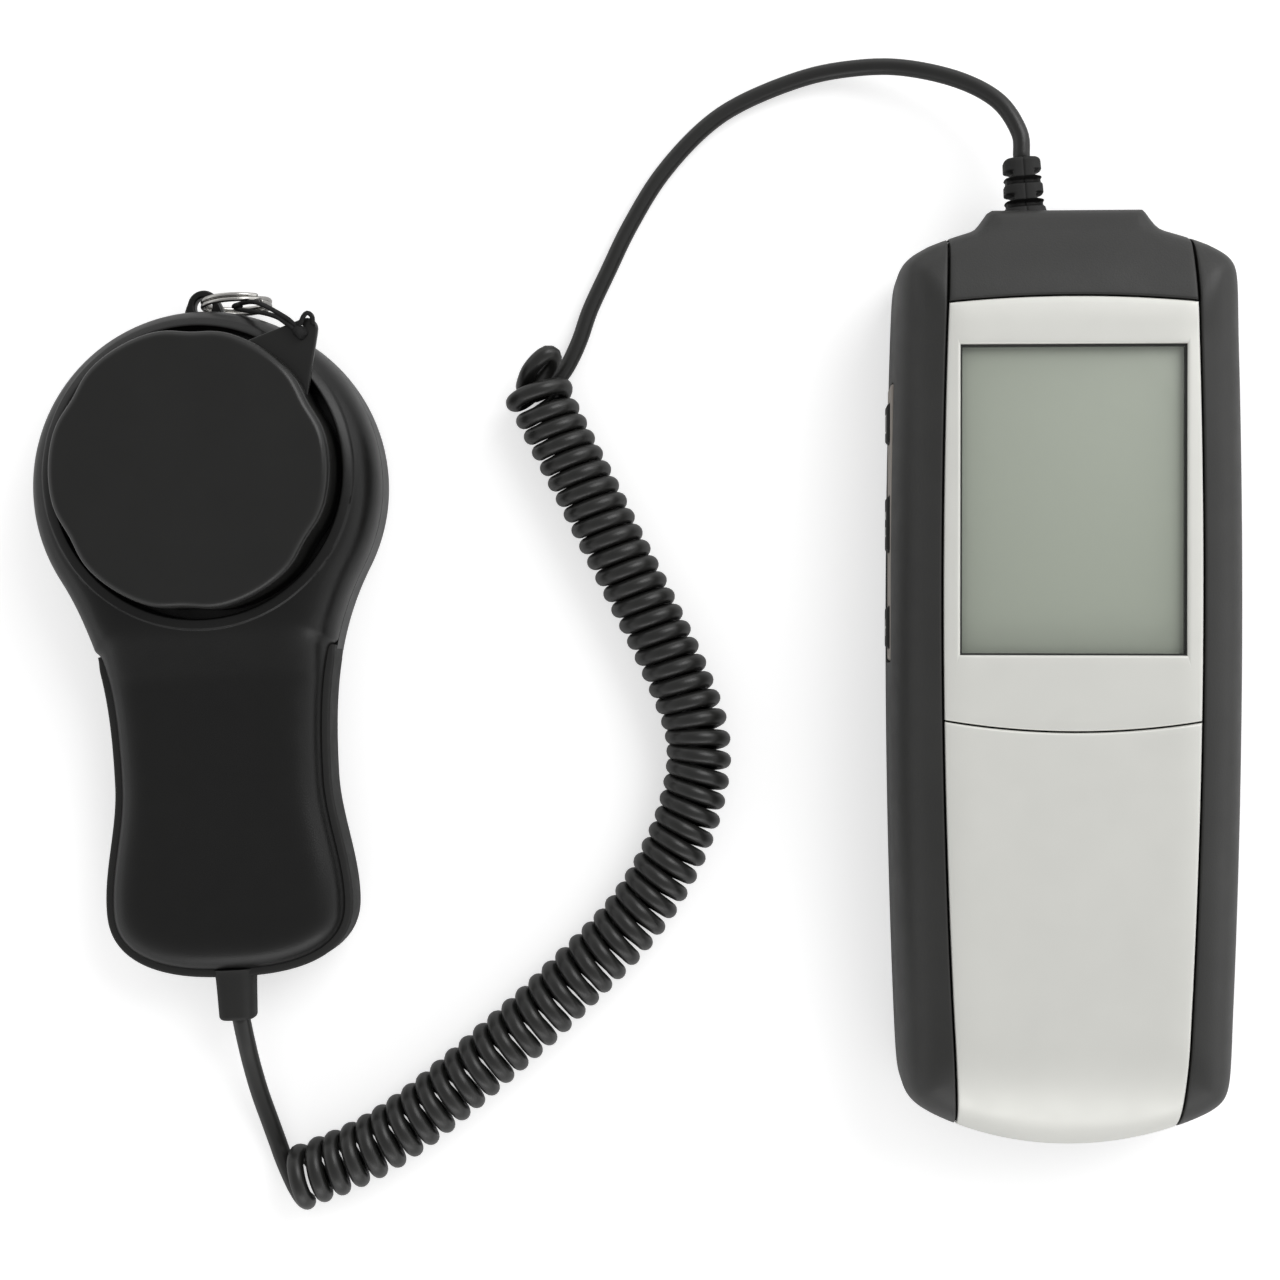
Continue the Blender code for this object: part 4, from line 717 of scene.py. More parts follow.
def panel_plan(seam, upper):
    """Plan grid between the rails, from a cross seam to an end of the meter."""
    start_limit = seam_x(seam[0]) - SEAM_GAP / 2
    columns = fractions(2 * start_limit, SEAM_STEPS, SEAM_STEPS, 56) * 2 - 1
    rows = []
    for u in columns:
        first = seam_y(u * start_limit, seam)
        last = outline_y(u * 20.3, upper)
        for _ in range(6):
            last = outline_y(u * (seam_x(last) - SEAM_GAP / 2), upper)
        share = fractions(abs(last - first), SEAM_STEPS, ROUND_STEPS, 60 if not upper else 24)
        y = first + (last - first) * share
        rows.append(np.stack([u * (seam_x(y) - SEAM_GAP / 2), y], -1))
    return np.array(rows)


def panel(seam, upper):
    """A front panel that runs from a cross seam to an end of the meter."""
    plan = panel_plan(seam, upper)
    border = np.concatenate([plan[0, ::-1], plan[:, 0], plan[-1]])
    surface_z = front_z(plan)
    z = np.maximum(surface_z - fillet_drop(polyline_distance(plan, border)), FRONT_BASE)
    low = np.maximum(surface_z - FRONT_WALL, FRONT_BASE)
    z[:, -1] = low[:, -1] = FRONT_BASE
    return mesh_of(slab(with_z(plan, z), with_z(plan, low)))


def loop_of(curves):
    return np.concatenate([curve[:-1] for curve in curves] + [curves[0][:1]])


def bezel():
    """The upper silver panel, with its opening for the display."""
    count = 90
    t = (1 - np.cos(np.pi * np.linspace(0, 1, count))) / 2
    low_y, high_y = PANEL_SEAM[0] + GAP, CAP_SEAM[0] - GAP
    low_x = seam_x(low_y) - SEAM_GAP / 2
    high_x = seam_x(high_y) - SEAM_GAP / 2
    across_low = (2 * t - 1) * low_x
    across_high = (1 - 2 * t) * high_x
    rising = low_y + (high_y - low_y) * t
    side = np.stack([seam_x(rising) - SEAM_GAP / 2, rising], -1)
    outer = loop_of([
        np.stack([across_low, seam_y(across_low, (low_y, PANEL_SEAM[1]))], -1), side,
        np.stack([across_high, seam_y(across_high, (high_y, CAP_SEAM[1]))], -1),
        (side * (-1, 1))[::-1]])
    w, h = WINDOW_HALF
    corners = [(-w, -h), (w, -h), (w, h), (-w, h), (-w, -h)]
    sides = []
    for a, b in zip(corners, corners[1:]):
        a, b = np.array(a), np.array(b)
        sides.append(a + (b - a) * t[:, None] + (0, WINDOW_Y))
    inner = loop_of(sides)
    plan = cross_lines(outer, inner, SEAM_STEPS, SEAM_STEPS, 8)
    z = front_z(plan)
    top = with_z(plan, z - fillet_drop(ring_distance(plan, outer, inner)))
    return mesh_of(ring_slab(top, with_z(plan, z - FRONT_WALL)))


def door_line(inset, count):
    """Contour round the battery door, from the outline on the left over its top to the right."""
    half = DOOR_HALF + inset
    low = float(outline_y(half, False))
    corner = 1.5
    high = DOOR_HIGH_Y + inset
    left_arc = circle((-half + corner, high - corner), corner,
                      np.radians(np.linspace(180, 90, 8)))
    right_arc = left_arc[::-1] * (-1, 1)
    line = np.concatenate([[[-half, low]], left_arc, right_arc, [[half, low]]])
    return resample(line, count)


def rear_tub():
    """The dark rear half of the housing, open where the battery door lies."""
    count = 700
    line = door_line(GAP, count)
    inside = (np.abs(OUTLINE[:, 0]) > DOOR_HALF + GAP) | (OUTLINE[:, 1] > 0)
    right = OUTLINE[inside]
    edge = np.concatenate([line[:1], right * (-1, 1), right[::-1][1:], line[-1:]])
    edge = resample(edge, count)
    steps = np.array((0.0, 0.02, 0.08, 0.2, 0.42, 0.8, 1.3, 1.9, 2.6, 3.5, 4.6))
    plan = cross_lines(edge, line, steps, SEAM_STEPS, 6)
    distance = polyline_distance(plan, WHOLE_OUTLINE)
    z = fillet_drop(distance, BACK_ROUND) + fillet_drop(polyline_distance(plan, line), 0.3)
    face = with_z(plan, z)
    cover = PARTING_Z - PARTING_GAP
    top = with_z(plan[:, [0, -1]], cover)
    return mesh_of([face, skirt(face[:, 0], top[:, 0], 6), top,
                    skirt(face[:, -1], top[:, -1])])


def door_cover():
    """The battery door, with grip ridges near its inner end."""
    half = DOOR_HALF
    columns = fractions(2 * half, SEAM_STEPS, SEAM_STEPS, 30) * 2 - 1
    rows = []
    for u in columns:
        last = outline_y(u * half, False)
        share = fractions(DOOR_HIGH_Y - last, SEAM_STEPS, ROUND_STEPS, 150)
        rows.append(np.stack([np.full(len(share), u * half),
                              DOOR_HIGH_Y + (last - DOOR_HIGH_Y) * share], -1))
    plan = np.array(rows)
    border = np.concatenate([plan[0, ::-1], plan[:, 0], plan[-1]])
    distance = polyline_distance(plan, WHOLE_OUTLINE)
    z = fillet_drop(distance, BACK_ROUND) + fillet_drop(polyline_distance(plan, border), 0.3)
    x, y = plan[..., 0], plan[..., 1]
    ridge_zone = smoothstep(9.0 - np.abs(x), 0, 0.5) * smoothstep(y, -36.2, -35.7)
    ridge_zone = ridge_zone * smoothstep(-25.3 - y, 0, 0.5)
    z = z + ridge_zone * 0.45 * (0.5 - 0.5 * np.cos(2 * np.pi * (y + 25.5) / 1.75))
    roof = np.maximum(z, 1.8)
    roof[:, -1] = z[:, -1]
    return mesh_of(slab(with_z(plan, z), with_z(plan, roof)))


# Meter assembly

def side_pocket():
    """The tool for the key plate's pocket in the left side."""
    reach = KEY_PLATE_HALF + GAP
    return box_mesh((SIDE_WALL - 3, KEY_PLATE[0] - GAP, KEY_Z - reach),
                    (SIDE_WALL + 4.0, KEY_PLATE[1] + GAP, KEY_Z + reach), 0.9)


def lead_bore():
    """The tool for the hole that the lead leaves by."""
    x, z, radius = LEAD_BORE
    low_y, high_y = 60.0, 90.0
    grid = lathe_grid([(0, low_y), (radius, low_y), (radius, high_y), (0, high_y)], 48)
    return mesh_of([grid], place=placed(x, 0, z) @ turned(-90, "X"))


def fit_screw(shell, name, place, body, frame_at):
    """A pan-headed screw with a cross recess, in its pit in a shell's underside."""
    radius, depth = SCREW_PIT
    where = frame_at @ placed(*place)
    hole = lathe_grid([(0, -1.0), (radius + 0.5, -1.0), (radius, 0.35), (radius, depth),
                       (0, depth)], 48)
    cut(shell, mesh_of([hole], place=where))
    low, wide = 3.0, 2.4
    profile = [(0, low), (wide - 0.5, low), *arc((wide - 0.4, low + 0.4), 0.4, -80, 0, 4),
               (wide, low + 1.8), (1.2, low + 1.8), (1.2, low + 9.0), (0, low + 9.8)]
    head = add_piece(name + "_head", mesh_of([lathe_grid(profile, 48)]), body, "steel", [name])
    for turn in (0, 90):
        cut(head, box_mesh((-1.5, -0.28, low - 1), (1.5, 0.28, low + 0.9),
                           place=turned(turn + 20, "Z")))
    head.data.transform(where)


def key_piece(name, y, length):
    """A key with its generic mark, made of flat bars."""
    cap = box_mesh((SIDE_WALL - 0.45, y - length / 2, KEY_Z - KEY_HALF),
                   (SIDE_WALL + 1.6, y + length / 2, KEY_Z + KEY_HALF), 0.62, 5)
    add_piece(name + "_cap", cap, name, "black_rubber", [name])
    face = SIDE_WALL - 0.50
    for number, (low_y, low_z, high_y, high_z) in enumerate(MARKS[name], 1):
        mark = box_mesh((face, y + low_y, KEY_Z + low_z),
                        (face + 0.12, y + high_y, KEY_Z + high_z), 0.03, 2)
        add_piece(f"{name}_mark_{number}", mark, name, "silver_paint", finish=MARK_WHITE)


def relief_mesh(length, widths, slots, place):
    """A moulded strain relief along +Z from its base: square with round corners, flared at
    the base, with staggered slots and a mould line where it has any."""
    angles = np.linspace(0, 2 * np.pi, 97)
    square = (np.abs(np.cos(angles)) ** 3.2 + np.abs(np.sin(angles)) ** 3.2) ** (-1 / 3.2)
    front = smoothstep(np.abs(np.sin(angles)), 0.45, 0.7)
    sides = smoothstep(np.abs(np.cos(angles)), 0.45, 0.7)
    mould_line = np.exp(-((np.abs(np.sin(angles)) - 1) / 0.0012) ** 2)
    rows = []
    for t in np.linspace(0, 1, 181):
        height = length * t
        radius = widths[0] + (widths[1] - widths[0]) * t
        across, beside = (sum(np.exp(-((height - at * length) / 0.5) ** 4) for at in places)
                          for places in slots)
        depth = 1.25 * across * np.maximum(front, 0.25) + 1.2 * beside * sides
        flare = 0.35 * math.exp(-height / 0.8)
        round_end = fillet_drop(np.array(length - height), 0.8)
        line = 0.16 * mould_line * bool(slots[0])
        reach = (radius - depth - round_end + flare - line) * square
        rows.append(upright(angles, reach, height))
    hub = np.zeros_like(rows[0])
    rows = np.array([hub, *rows, hub + (0, 0, length)])
    rows[:, -1] = rows[:, 0]
    return mesh_of([rows], place=place)


def display_pieces():
    """The window pane, the display with painted light, and a painted-shadow frame round the
    opening.
    """
    w, h = WINDOW_HALF
    top = METER_HEIGHT - 1.0
    pane = box_mesh((-w + 0.12, WINDOW_Y - h + 0.12, top - 1.0),
                    (w - 0.12, WINDOW_Y + h - 0.12, top), 0.15, 3)
    add_piece("window_pane", pane, "meter", "window_glass", ["lcd_window"])
    cell = box_mesh((-w - 0.9, WINDOW_Y - h - 0.9, top - 3.6),
                    (w + 0.9, WINDOW_Y + h + 0.9, top - 1.25), 0.1, 2)
    piece = add_piece("display_cell_top", cell, "meter", "display_cell", ["lcd_panel"])
    # Painted shadow: a thin black frame round the window's edge, standing in for the shade the
    # opening's wall casts on the display
    rows = []
    for x, y in ((-1, -1), (1, -1), (1, 1), (-1, 1), (-1, -1)):
        outer, inner = (x * w, WINDOW_Y + y * h), (x * (w - 0.32), WINDOW_Y + y * (h - 0.32))
        rows.append([(*outer, top + 0.4), (*inner, top + 0.2), (*inner, top - 1.4),
                     (*outer, top - 1.4), (*outer, top + 0.4)])
    add_piece("window_edge_shadow_frame", mesh_of([rows]), "meter", "black_rubber")
    # Painted light: the display's colour ramps from darker at its lower end to lighter at its
    # upper end, standing in for light falling from that end
    tree = piece.data.materials[0].node_tree
    shader = tree.nodes["Principled BSDF"]
    place = tree.nodes.new("ShaderNodeTexCoord").outputs["Object"]
    split = tree.nodes.new("ShaderNodeSeparateXYZ")
    tree.links.new(place, split.inputs[0])
    run = tree.nodes.new("ShaderNodeMapRange")
    run.inputs["From Min"].default_value = (WINDOW_Y - h) * MM
    run.inputs["From Max"].default_value = (WINDOW_Y + h) * MM
    tree.links.new(split.outputs["Y"], run.inputs["Value"])
    shade = ramp(tree, run.outputs[0], (0.418, 0.452, 0.375), (0.470, 0.505, 0.426), 0.0, 1.0)
    tree.links.new(shade, shader.inputs["Base Color"])


def build_meter():
    left = add_piece("left_rail", rail(-1), "meter", "dark_grey_plastic", ["left_side_rail"])
    cut(left, side_pocket())
    add_piece("right_rail", rail(1), "meter", "dark_grey_plastic", ["right_side_rail"])
    cap = add_piece("top_cap_cover", panel(CAP_SEAM, True), "meter",
                    "dark_grey_plastic", ["top_cap"])
    cut(cap, lead_bore())
    add_piece("upper_bezel_cover", bezel(), "meter", "silver_paint", ["upper_bezel"])
    add_piece("lower_panel_cover", panel(PANEL_SEAM, False), "meter",
              "silver_paint", ["lower_front_panel"])
    rear = add_piece("rear_housing", rear_tub(), "meter", "dark_grey_plastic", ["rear_shell"])
    cut(rear, side_pocket())
    cut(rear, lead_bore())
    for number, place in enumerate(REAR_SCREWS, 1):
        fit_screw(rear, f"rear_screw_{number}", place, "meter", Matrix())
    add_piece("battery_door_cover", door_cover(), "battery_door", "dark_grey_plastic",
              ["battery_door"])
    display_pieces()
    plate = box_mesh((SIDE_WALL + 0.12, KEY_PLATE[0], KEY_Z - KEY_PLATE_HALF),
                     (SIDE_WALL + 1.4, KEY_PLATE[1], KEY_Z + KEY_PLATE_HALF), 0.5, 4)
    plate = add_piece("key_plate_face", plate, "meter", "key_plate_grey", ["side_key_plate"])
    for name, y, length in KEYS:
        half = length / 2 + 0.2
        cut(plate, box_mesh((SIDE_WALL - 2, y - half, KEY_Z - KEY_HALF - 0.2),
                            (SIDE_WALL + 3, y + half, KEY_Z + KEY_HALF + 0.2), 0.7))
        key_piece(name, y, length)
    relief = relief_mesh(9.9, (3.5, 3.2), ((0.17, 0.58), (0.30, 0.71)),
                         placed(-6.4, 80.5, 11.6, math.radians(4.0)) @ turned(-90, "X"))
    add_piece("meter_relief_boot", relief, "meter", "black_rubber", ["meter_strain_relief"])


# Paddle outline and heights

def hermite(start, end, start_slope, end_slope, run, t):
    """A cubic from start to end over a run, with a slope at each end."""
    cubed, squared = t ** 3, t ** 2
    return (start * (2 * cubed - 3 * squared + 1) + end * (3 * squared - 2 * cubed)
            + run * (start_slope * (cubed - 2 * squared + t) + end_slope * (cubed - squared)))


def paddle_half(y):
    """Half the paddle's width: round head, neck, waist and rounded heel."""
    head = np.sqrt(np.maximum(HEAD_RADIUS ** 2 - y ** 2, 0))
    start = math.sqrt(HEAD_RADIUS ** 2 - NECK_START_Y ** 2)
    run = WAIST_Y - NECK_START_Y
    neck = hermite(start, WAIST_HALF_WIDTH, -NECK_START_Y / start, 0.0, run,
                   (y - NECK_START_Y) / run)
    waist = hermite(WAIST_HALF_WIDTH, HEEL_HALF_WIDTH, 0, 0, 1.0,
                    (y - WAIST_Y) / (HEEL_Y - WAIST_Y))
    depth = np.clip((HEEL_Y - y) / HEEL_LENGTH, 0, 1)
    heel = HEEL_HALF_WIDTH * (1 - depth ** HEEL_POWER) ** (1 / HEEL_POWER)
    return np.where(y >= NECK_START_Y, head,
                    np.where(y >= WAIST_Y, neck, np.where(y >= HEEL_Y, waist, heel)))


def paddle_outline():
    """Right half of the paddle's outline, from the heel to the top of the head."""
    low = HEEL_Y - HEEL_LENGTH
    t = np.linspace(0, 1, 1600)
    y = low + (HEAD_RADIUS - low) * (1 - np.cos(np.pi * t)) / 2
    return resample(np.stack([paddle_half(y), y], -1), 700)


PADDLE_EDGE = paddle_outline()
PADDLE_LOOP = mirrored(PADDLE_EDGE)


def inset_edge(edge):
    """The right half of the outline, drawn in where the grip band lies round the handle."""
    along = directions(edge)
    inset = BAND_LEDGE * smoothstep(-edge[:, 1], -BAND_HIGH_Y - 1.2, -BAND_HIGH_Y + 0.8)
    drawn = edge + inset[:, None] * np.stack([-along[:, 1], along[:, 0]], -1)
    drawn[0, 0] = 0.0
    return drawn


UPPER_EDGE = inset_edge(PADDLE_EDGE)
UPPER_LOOP = mirrored(UPPER_EDGE)


def paddle_z(plan):
    """Height of the upper shell, with a low step round the recess."""
    y = plan[..., 1]
    top = HANDLE_HEIGHT + (HEAD_HEIGHT - HANDLE_HEIGHT) * smoothstep(y, *SHOULDER)
    base = PADDLE_PARTING_Z + PARTING_GAP
    distance = polyline_distance(plan, UPPER_LOOP)
    z = base + (top - base) * crown(distance, PADDLE_CROWN_RUN, PADDLE_CROWN_POWER)
    from_centre = np.hypot(plan[..., 0], y - RECESS_Y)
    step = 0.30 * smoothstep(from_centre, RECESS_RADIUS + 1.75, RECESS_RADIUS + 2.05)
    return z - step * smoothstep(y, CHORD_Y, CHORD_Y + 6.0)


def paddle_rows(edge, low_y, high_y, count, columns):
    """Plan grid of rows across the paddle between two heights of the paddle's frame."""
    t = np.linspace(0, 1, count)
    y = low_y + (high_y - low_y) * (1 - np.cos(np.pi * t / 2))
    half = np.interp(y, edge[:, 1], edge[:, 0])
    share = fractions(2 * 20.0, ROUND_STEPS, ROUND_STEPS, columns) * 2 - 1
    return np.stack([half[:, None] * share, np.broadcast_to(y[:, None], (count, len(share)))],
                    -1)


def paddle_upper():
    """The paddle's upper shell: a ring round the recess, and the handle below its chord."""
    base = PADDLE_PARTING_Z + PARTING_GAP
    handle = paddle_rows(UPPER_EDGE, UPPER_EDGE[0, 1], CHORD_Y, 150, 30)
    chord = handle[-1]
    right = UPPER_EDGE[UPPER_EDGE[:, 1] > CHORD_Y]
    side = resample(np.concatenate([chord[-1:], right]), 260)
    outer = np.concatenate([chord, side[1:], (side * (-1, 1))[::-1][1:]])
    angles = np.arctan2(outer[:, 1] - RECESS_Y, outer[:, 0])
    inner = circle((0, RECESS_Y), RECESS_RADIUS, angles)
    fine = np.concatenate([SEAM_STEPS, (0.8, 1.2, 1.6, 1.75, 1.85, 1.95, 2.05, 2.2)])
    ring = cross_lines(inner, outer, fine, ROUND_STEPS, 5)
    rim = with_z(ring, paddle_z(ring) - fillet_drop(np.hypot(
        ring[..., 0], ring[..., 1] - RECESS_Y) - RECESS_RADIUS, 0.4))
    rim[len(chord) - 1:, -1, 2] = base
    grip = with_z(handle, paddle_z(handle))
    grip[:, [0, -1], 2] = base
    grip[0, :, 2] = base
    floor_loop = with_z(inner, RECESS_FLOOR)
    hole_plan = circle((0, RECESS_Y), 11.8, angles)
    hole, hole_low = with_z(hole_plan, RECESS_FLOOR), with_z(hole_plan, base)
    outer_low = with_z(outer, base)
    return mesh_of([
        rim, grip, skirt(rim[:, 0], floor_loop, 6), skirt(floor_loop, hole, 4),
        skirt(hole, hole_low), skirt(hole_low, outer_low), with_z(handle, base)],
        place=PADDLE)


def paddle_lower():
    """The paddle's lower shell with its rounded back edge."""
    low = HEEL_Y - HEEL_LENGTH
    middle = -20.0
    lower = paddle_rows(PADDLE_EDGE, low, middle, 130, 24)
    upper = paddle_rows(PADDLE_EDGE, HEAD_RADIUS, middle, 130, 24)
    grids = []
    cover = PADDLE_PARTING_Z - PARTING_GAP
    for plan in (lower, upper):
        distance = polyline_distance(plan, PADDLE_LOOP)
        distance[:, [0, -1]] = 0
        distance[0] = 0
        face = with_z(plan, fillet_drop(distance, PADDLE_BACK_ROUND))
        grids += [face, with_z(plan, cover)]
        for column in (0, -1):
            grids.append(skirt(face[:, column], with_z(plan[:, column], cover), 4))
    return mesh_of(grids, place=PADDLE)


def band_mesh():
    """The rubber band round the handle, as a closed section swept along its outline."""
    right = PADDLE_EDGE[PADDLE_EDGE[:, 1] < BAND_HIGH_Y]
    line = resample(np.concatenate([(right * (-1, 1))[::-1], right[1:]]), 420)
    along = directions(line)
    outward = np.stack([along[:, 1], -along[:, 0]], -1)
    low, high = BAND_Z
    r = 0.55
    section = [(-1.2, low), *arc((BAND_PROUD - r, low + r), r, -90, 0),
               *arc((BAND_PROUD - r, high - r), r, 0, 90), (-1.6, high + 0.05),
               (-1.6, high - 1.0), (-1.2, low)]
    rows = []
    last = len(line) - 1
    for index, (point, out) in enumerate(zip(line, outward)):
        inset = 0.35 * (1 - smoothstep(min(index, last - index) / 8.0, 0, 1))
        rows.append([(*(point + out * (a - inset)), z) for a, z in section])
    rows = np.array(rows)
    hub = [np.broadcast_to(row.mean(0), row.shape) for row in (rows[0], rows[-1])]
    return mesh_of([np.array([hub[0], *rows, hub[1]])], place=PADDLE)


def ear_mesh():
    """The ear with its hole, rounded on all its edges."""
    count = 97
    t = np.linspace(0, 2 * np.pi, count)
    hole = circle(EAR_HOLE, 1.6, t)
    spread_x = 2.9 + 1.9 * smoothstep(-np.sin(t), -0.3, 1.0)
    reach_y = np.where(np.sin(t) < 0, 4.6, 2.9)
    outer = np.stack([spread_x * np.cos(t), EAR_HOLE[1] + reach_y * np.sin(t)], -1)
    plan = cross_lines(outer, hole, SEAM_STEPS, SEAM_STEPS, 3)
    drop = fillet_drop(ring_distance(plan, outer, hole))
    top, low = with_z(plan, EAR_Z[1] - drop), with_z(plan, EAR_Z[0] + drop)
    top[-1], low[-1] = top[0], low[0]
    return mesh_of(ring_slab(top, low), place=PADDLE)


def scalloped(radius, height, angles):
    """The cap's radius with six shallow finger scallops."""
    wave = (1 + np.cos(6 * (angles - math.radians(26.0)))) / 2
    weight = smoothstep(radius, CAP_RADIUS - 5.0, CAP_RADIUS - 1.0)
    return radius - 0.75 * wave ** 4 * weight


def cap_mesh():
    """The plug-in cap, hollow below, with its skirt down in the recess."""
    top, inner = CAP_TOP, CAP_RADIUS - 1.4
    profile = [(0, top), *[(CAP_RADIUS * t, top) for t in (0.2, 0.4, 0.6, 0.75, 0.85, 0.91)],
               *arc((CAP_RADIUS - 1.5, top - 1.5), 1.5, 90, 0, 8),
               *[(CAP_RADIUS, z) for z in (23.5, 22.0, 20.0, 18.0, 16.0)],
               *arc((CAP_RADIUS - 0.35, CAP_SKIRT + 0.35), 0.35, 0, -90, 3),
               (inner + 0.3, CAP_SKIRT), (inner, CAP_SKIRT + 0.3), (inner, 20.0),
               *arc((inner - 1.0, top - 2.4), 1.0, 0, 90, 4), (0, top - 1.4)]
    return mesh_of([lathe_grid(profile, 240, scalloped)], place=COLLECTOR)


def tab_mesh():
    """The pointed tab with its hole, as a ring between its outline and the hole."""
    corner = circle((0, 0), CAP_RADIUS - 1.0, TAB_ANGLE + np.radians((-19.0, 19.0)))
    tip = circle((0, 0), TAB_TIP, TAB_ANGLE)
    nose = circle(tip, 1.9, TAB_ANGLE + np.radians(np.linspace(-62, 62, 14)))
    outer = resample(np.concatenate([corner[:1], nose, corner[1:], corner[:1]]), 121)
    middle = tip + (-1.3, -0.1)
    hole = circle(middle, 0.9, np.arctan2(outer[:, 1] - middle[1], outer[:, 0] - middle[0]))
    plan = cross_lines(outer, hole, SEAM_STEPS, SEAM_STEPS, 4)
    drop = fillet_drop(ring_distance(plan, outer, hole), 0.3)
    return mesh_of(ring_slab(with_z(plan, TAB_Z[1] - drop), with_z(plan, TAB_Z[0] + drop)),
                   place=COLLECTOR)


def collector_pieces():
    """The retaining ring and the milky dome under the cap."""
    floor = RECESS_FLOOR + GAP
    inner, outer, top = 14.7, 22.2, floor + 3.4
    ring = [(inner, floor), (outer, floor), (outer, top - 0.8),
            *arc((outer - 0.8, top - 0.8), 0.8, 0, 90, 4), (inner + 3.2, top),
            (inner + 2.8, top - 0.5), (inner + 1.2, top - 0.6),
            *arc((inner + 0.6, top - 1.2), 0.6, 90, 180, 4), (inner, floor)]
    mesh = mesh_of([lathe_grid(ring, 160)], place=COLLECTOR)
    add_piece("retainer_ring", mesh, "sensor", "black_plastic", ["diffuser_retainer"])
    rim, radius, rise = floor + 1.4, 14.4, 4.2
    dome = [(0, floor), (radius, floor), (radius, rim)]
    dome += [(radius * math.cos(a), rim + rise * math.sin(a))
             for a in np.radians(np.linspace(5, 90, 18))]
    dome[-1] = (0, rim + rise)
    mesh = mesh_of([lathe_grid(dome)], place=COLLECTOR)
    add_piece("dome_shell", mesh, "sensor", "diffuser_white", ["diffuser_dome"])


def tube_mesh(path, radius, around=20, place=None):
    """A tube with rounded ends along a path in millimetres."""
    path = np.asarray(path, float)
    radius = np.broadcast_to(radius, len(path))
    along = directions(path)
    side = np.cross(along[0], (0.0, 0.0, 1.0))
    if np.linalg.norm(side) < 1e-3:
        side = np.array((1.0, 0.0, 0.0))
    sides = []
    for direction in along:
        side = side - direction * side.dot(direction)
        side /= np.linalg.norm(side)
        sides.append(side)
    sides = np.array(sides)
    ups = np.cross(along, sides)
    angles = np.linspace(0, 2 * np.pi, around + 1)
    reach = (np.cos(angles)[None, :, None] * sides[:, None]
             + np.sin(angles)[None, :, None] * ups[:, None])
    rows = path[:, None] + radius[:, None, None] * reach
    ends = []
    for index, sign in ((0, -1), (-1, 1)):
        dome = []
        for a in np.radians((90, 60, 30)):
            centre = path[index] + sign * along[index] * radius[index] * 0.6 * math.sin(a)
            dome.append(centre + (rows[index] - path[index]) * math.cos(a))
        ends.append(dome)
    whole = np.array([*ends[0], *rows, *ends[1][::-1]])
    whole[:, -1] = whole[:, 0]
    return mesh_of([whole], weld=1e-7, place=place)


def smooth_path(points, spacing):
    """Points on a Catmull-Rom curve, evenly spaced."""
    points = np.asarray(points, float)
    padded = np.concatenate([[2 * points[0] - points[1]], points,
                             [2 * points[-1] - points[-2]]])
    path = []
    for before, start, end, after in zip(padded, padded[1:], padded[2:], padded[3:]):
        t = np.linspace(0, 1, 24, endpoint=False)[:, None]
        path.append(0.5 * (2 * start + (end - before) * t
                           + (2 * before - 5 * start + 4 * end - after) * t ** 2
                           + (3 * start - before - 3 * end + after) * t ** 3))
    path = np.concatenate([*path, points[-1:]])
    length = np.linalg.norm(np.diff(path, axis=0), axis=1).sum()
    return resample(path, max(int(length / spacing), 4))


def coil_path():
    """The curly stretch: a right-handed helix round its axis, turns closer at the meter's end."""
    turns = np.linspace(0, 1, int(COIL_TURNS * 8) + 1)
    axis = smooth_path([(x, y, COIL_HEIGHT) for x, y in COIL_AXIS], 0.3)
    run = 0.94 * turns + 0.06 * turns ** 2
    share = np.linspace(0, 1, len(axis))
    centre = np.stack([np.interp(run, share, axis[:, k]) for k in range(3)], -1)
    along = directions(centre)
    side = np.cross(along, (0.0, 0.0, 1.0))
    up = np.cross(side, along)
    angle = 2 * np.pi * COIL_TURNS * turns
    radius = COIL_OUTER - LEAD_RADIUS
    return centre + radius * (np.cos(angle)[:, None] * side + np.sin(angle)[:, None] * up)


def build_lead():
    """The whole lead as one tube, a little thicker where it is coiled."""
    path = smooth_path((*METER_LEAD, *KINKED_LOOP, *coil_path(), *PADDLE_LEAD), PATH_STEP)
    sample = np.arange(len(path))
    coiled = smoothstep(sample, *COIL_STARTS) * smoothstep(-sample, COIL_ENDS[0] - len(path),
                                                           COIL_ENDS[1] - len(path))
    thick = LEAD_RADIUS + COIL_EXTRA * coiled
    path[:, 2] = np.maximum(path[:, 2], thick)
    mesh = tube_mesh(path, thick, 18)
    lead = add_piece("sensor_lead", mesh, None, "cord_jacket",
                     ["cord_lead_meter", "cord_coil", "cord_lead_sensor"])
    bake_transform(lead)


def ring_frame():
    """Where the split ring hangs in the ear's hole, a little raised and leaning."""
    rise, lean = math.radians(6.0), math.radians(4.0)
    along = Vector((math.cos(rise), 0.01, math.sin(rise))).normalized()
    up = Vector((0, math.sin(lean), math.cos(lean)))
    up = (up - along * up.dot(along)).normalized()
    normal = along.cross(up).normalized()
    turn = Matrix((along, up, normal)).transposed().to_4x4()
    hole = Vector((*EAR_HOLE, sum(EAR_Z) / 2)) * MM
    return PADDLE @ Matrix.Translation(hole + along * RING_RADIUS * MM) @ turn


def ring_piece():
    """Two turns of wire side by side, stepping over where the ends lie."""
    count = 240
    t = np.linspace(0, 1, count)
    angle = np.radians(35.0) + 4 * np.pi * t * 0.985
    across = 0.43 * np.tanh((t - 0.5) * 26)
    ring = np.stack([RING_RADIUS * np.cos(angle), RING_RADIUS * np.sin(angle), across], -1)
    mesh = tube_mesh(ring, RING_WIRE, 16, place=ring_frame())
    add_piece("key_ring_wire", mesh, "ring", "steel", ["split_ring"])


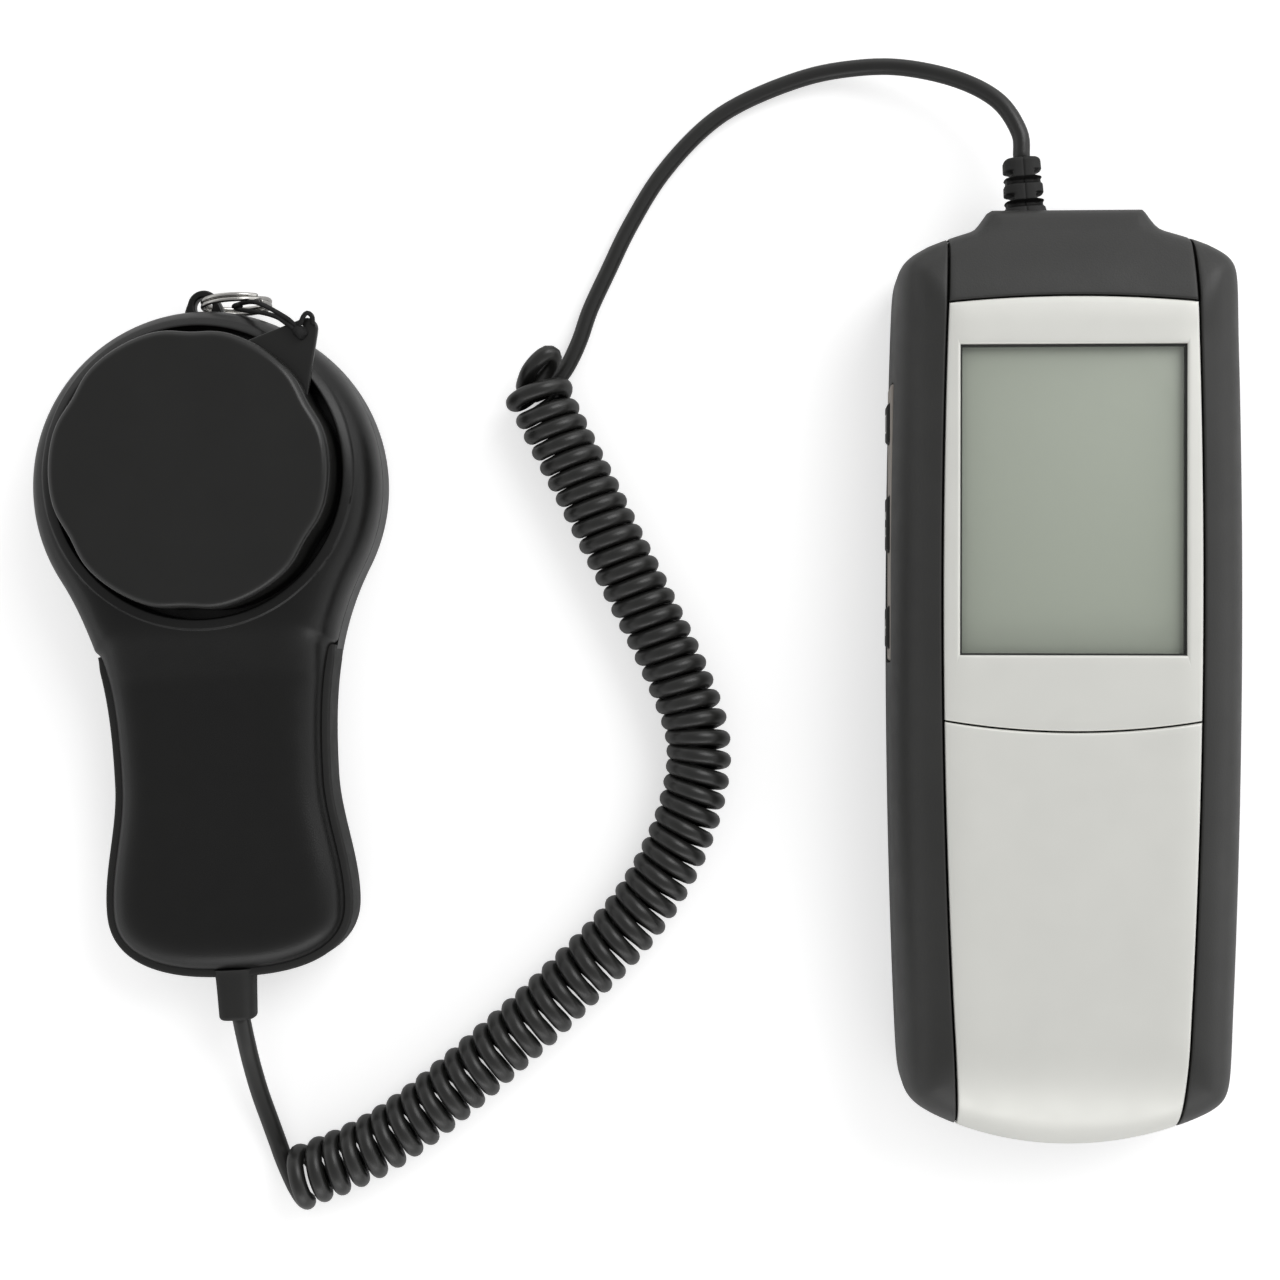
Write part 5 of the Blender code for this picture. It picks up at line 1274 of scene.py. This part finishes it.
def build_tether():
    """The doubled cord from the ring to the cap's tab, with a knot at each end."""
    strands = ((6.4, 32.0, 9.6), (8.0, 31.7, 11.2), (10.4, 31.0, 14.4), (13.4, 29.7, 17.8),
               (16.2, 28.1, 21.0), (18.3, 26.5, 23.0), (19.5, 25.3, 22.6))
    loop = ((19.2, 25.2, 22.2), (20.3, 26.2, 23.0), (21.0, 27.4, 23.2), (21.7, 27.9, 23.2),
            (22.4, 27.3, 23.0), (22.4, 26.1, 22.6))
    spacing = (0.7, 1.5, 1.9, 1.3, 0.8, 0.9, 0.6)
    pieces = []
    for number, shift in enumerate((-TETHER_RADIUS, TETHER_RADIUS), 1):
        path = smooth_path([(x + shift * 0.4 * apart, y + shift * apart, z)
                            for (x, y, z), apart in zip(strands, spacing)], 0.35)
        mesh = tube_mesh(path, TETHER_RADIUS, 12, place=PADDLE)
        pieces.append(add_piece(f"tether_strand_{number}", mesh, None, "cord_jacket",
                                ["cap_tether"] if number == 1 else (), finish=WEB_BLACK))
    mesh = tube_mesh(smooth_path(loop, 0.3), TETHER_RADIUS, 12, place=PADDLE)
    add_piece("tether_curl", mesh, "cap", "cord_jacket", finish=WEB_BLACK)
    lumps = [(max(radius, 0.0), height) for radius, height in arc((0, 0), 1.0, -90, 90, 14)]
    ball = lathe_grid(lumps, 32, lambda r, h, turn: r * (1 + 0.10 * np.sin(3 * turn + 4 * h)))
    knots = (("tether_crimp", (6.6, 32.0, 9.8), (0.9, 0.6, 1.2), "sensor"),
             ("tether_knot", (20.1, 24.8, 22.5), (1.3, 1.2, 0.9), "cap"))
    for name, centre, size, body in knots:
        grid = ball * np.array(size)
        place = PADDLE @ placed(*centre) @ Matrix.Rotation(0.6, 4, "Y")
        add_piece(name, mesh_of([grid], place=place), body, "cord_jacket", finish=WEB_BLACK)
    for piece in pieces:
        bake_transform(piece)


def build_paddle():
    add_piece("sensor_upper_cover", paddle_upper(), "sensor", "black_plastic",
              ["sensor_upper_shell"])
    lower = add_piece("sensor_lower_cover", paddle_lower(), "sensor", "black_plastic",
                      ["sensor_lower_shell"])
    for number, place in enumerate(SENSOR_SCREWS, 1):
        fit_screw(lower, f"sensor_screw_{number}", place, "sensor", PADDLE)
    add_piece("sensor_ear", ear_mesh(), "sensor", "black_plastic")
    add_piece("grip_band_cover", band_mesh(), "sensor", "black_rubber", ["grip_band"])
    collector_pieces()
    add_piece("cap_cover", cap_mesh(), "cap", "black_plastic", ["sensor_cap"], CAP_BLACK)
    add_piece("cap_tab", tab_mesh(), "cap", "black_plastic", finish=CAP_BLACK)
    start = placed(0.0, HEEL_Y - HEEL_LENGTH + 1.0, 9.6)
    relief = relief_mesh(9.1, (3.5, 3.2), ((), ()), PADDLE @ start @ turned(90, "X"))
    add_piece("sensor_relief_boot", relief, "sensor", "black_rubber", ["sensor_strain_relief"])
    ring_piece()
    build_tether()


def finish_cad_nodes():
    """Gives every CAD node that stays its slot's finish."""
    for row in frame["record"]["subparts"]:
        node = frame["nodes"].get(row["node"])
        if node is None:
            continue
        node.data.materials.clear()
        node.data.materials.append(SLOT_FINISHES[row["material_slot"]])


add_studio()
finish_cad_nodes()
build_lead()
build_meter()
build_paddle()
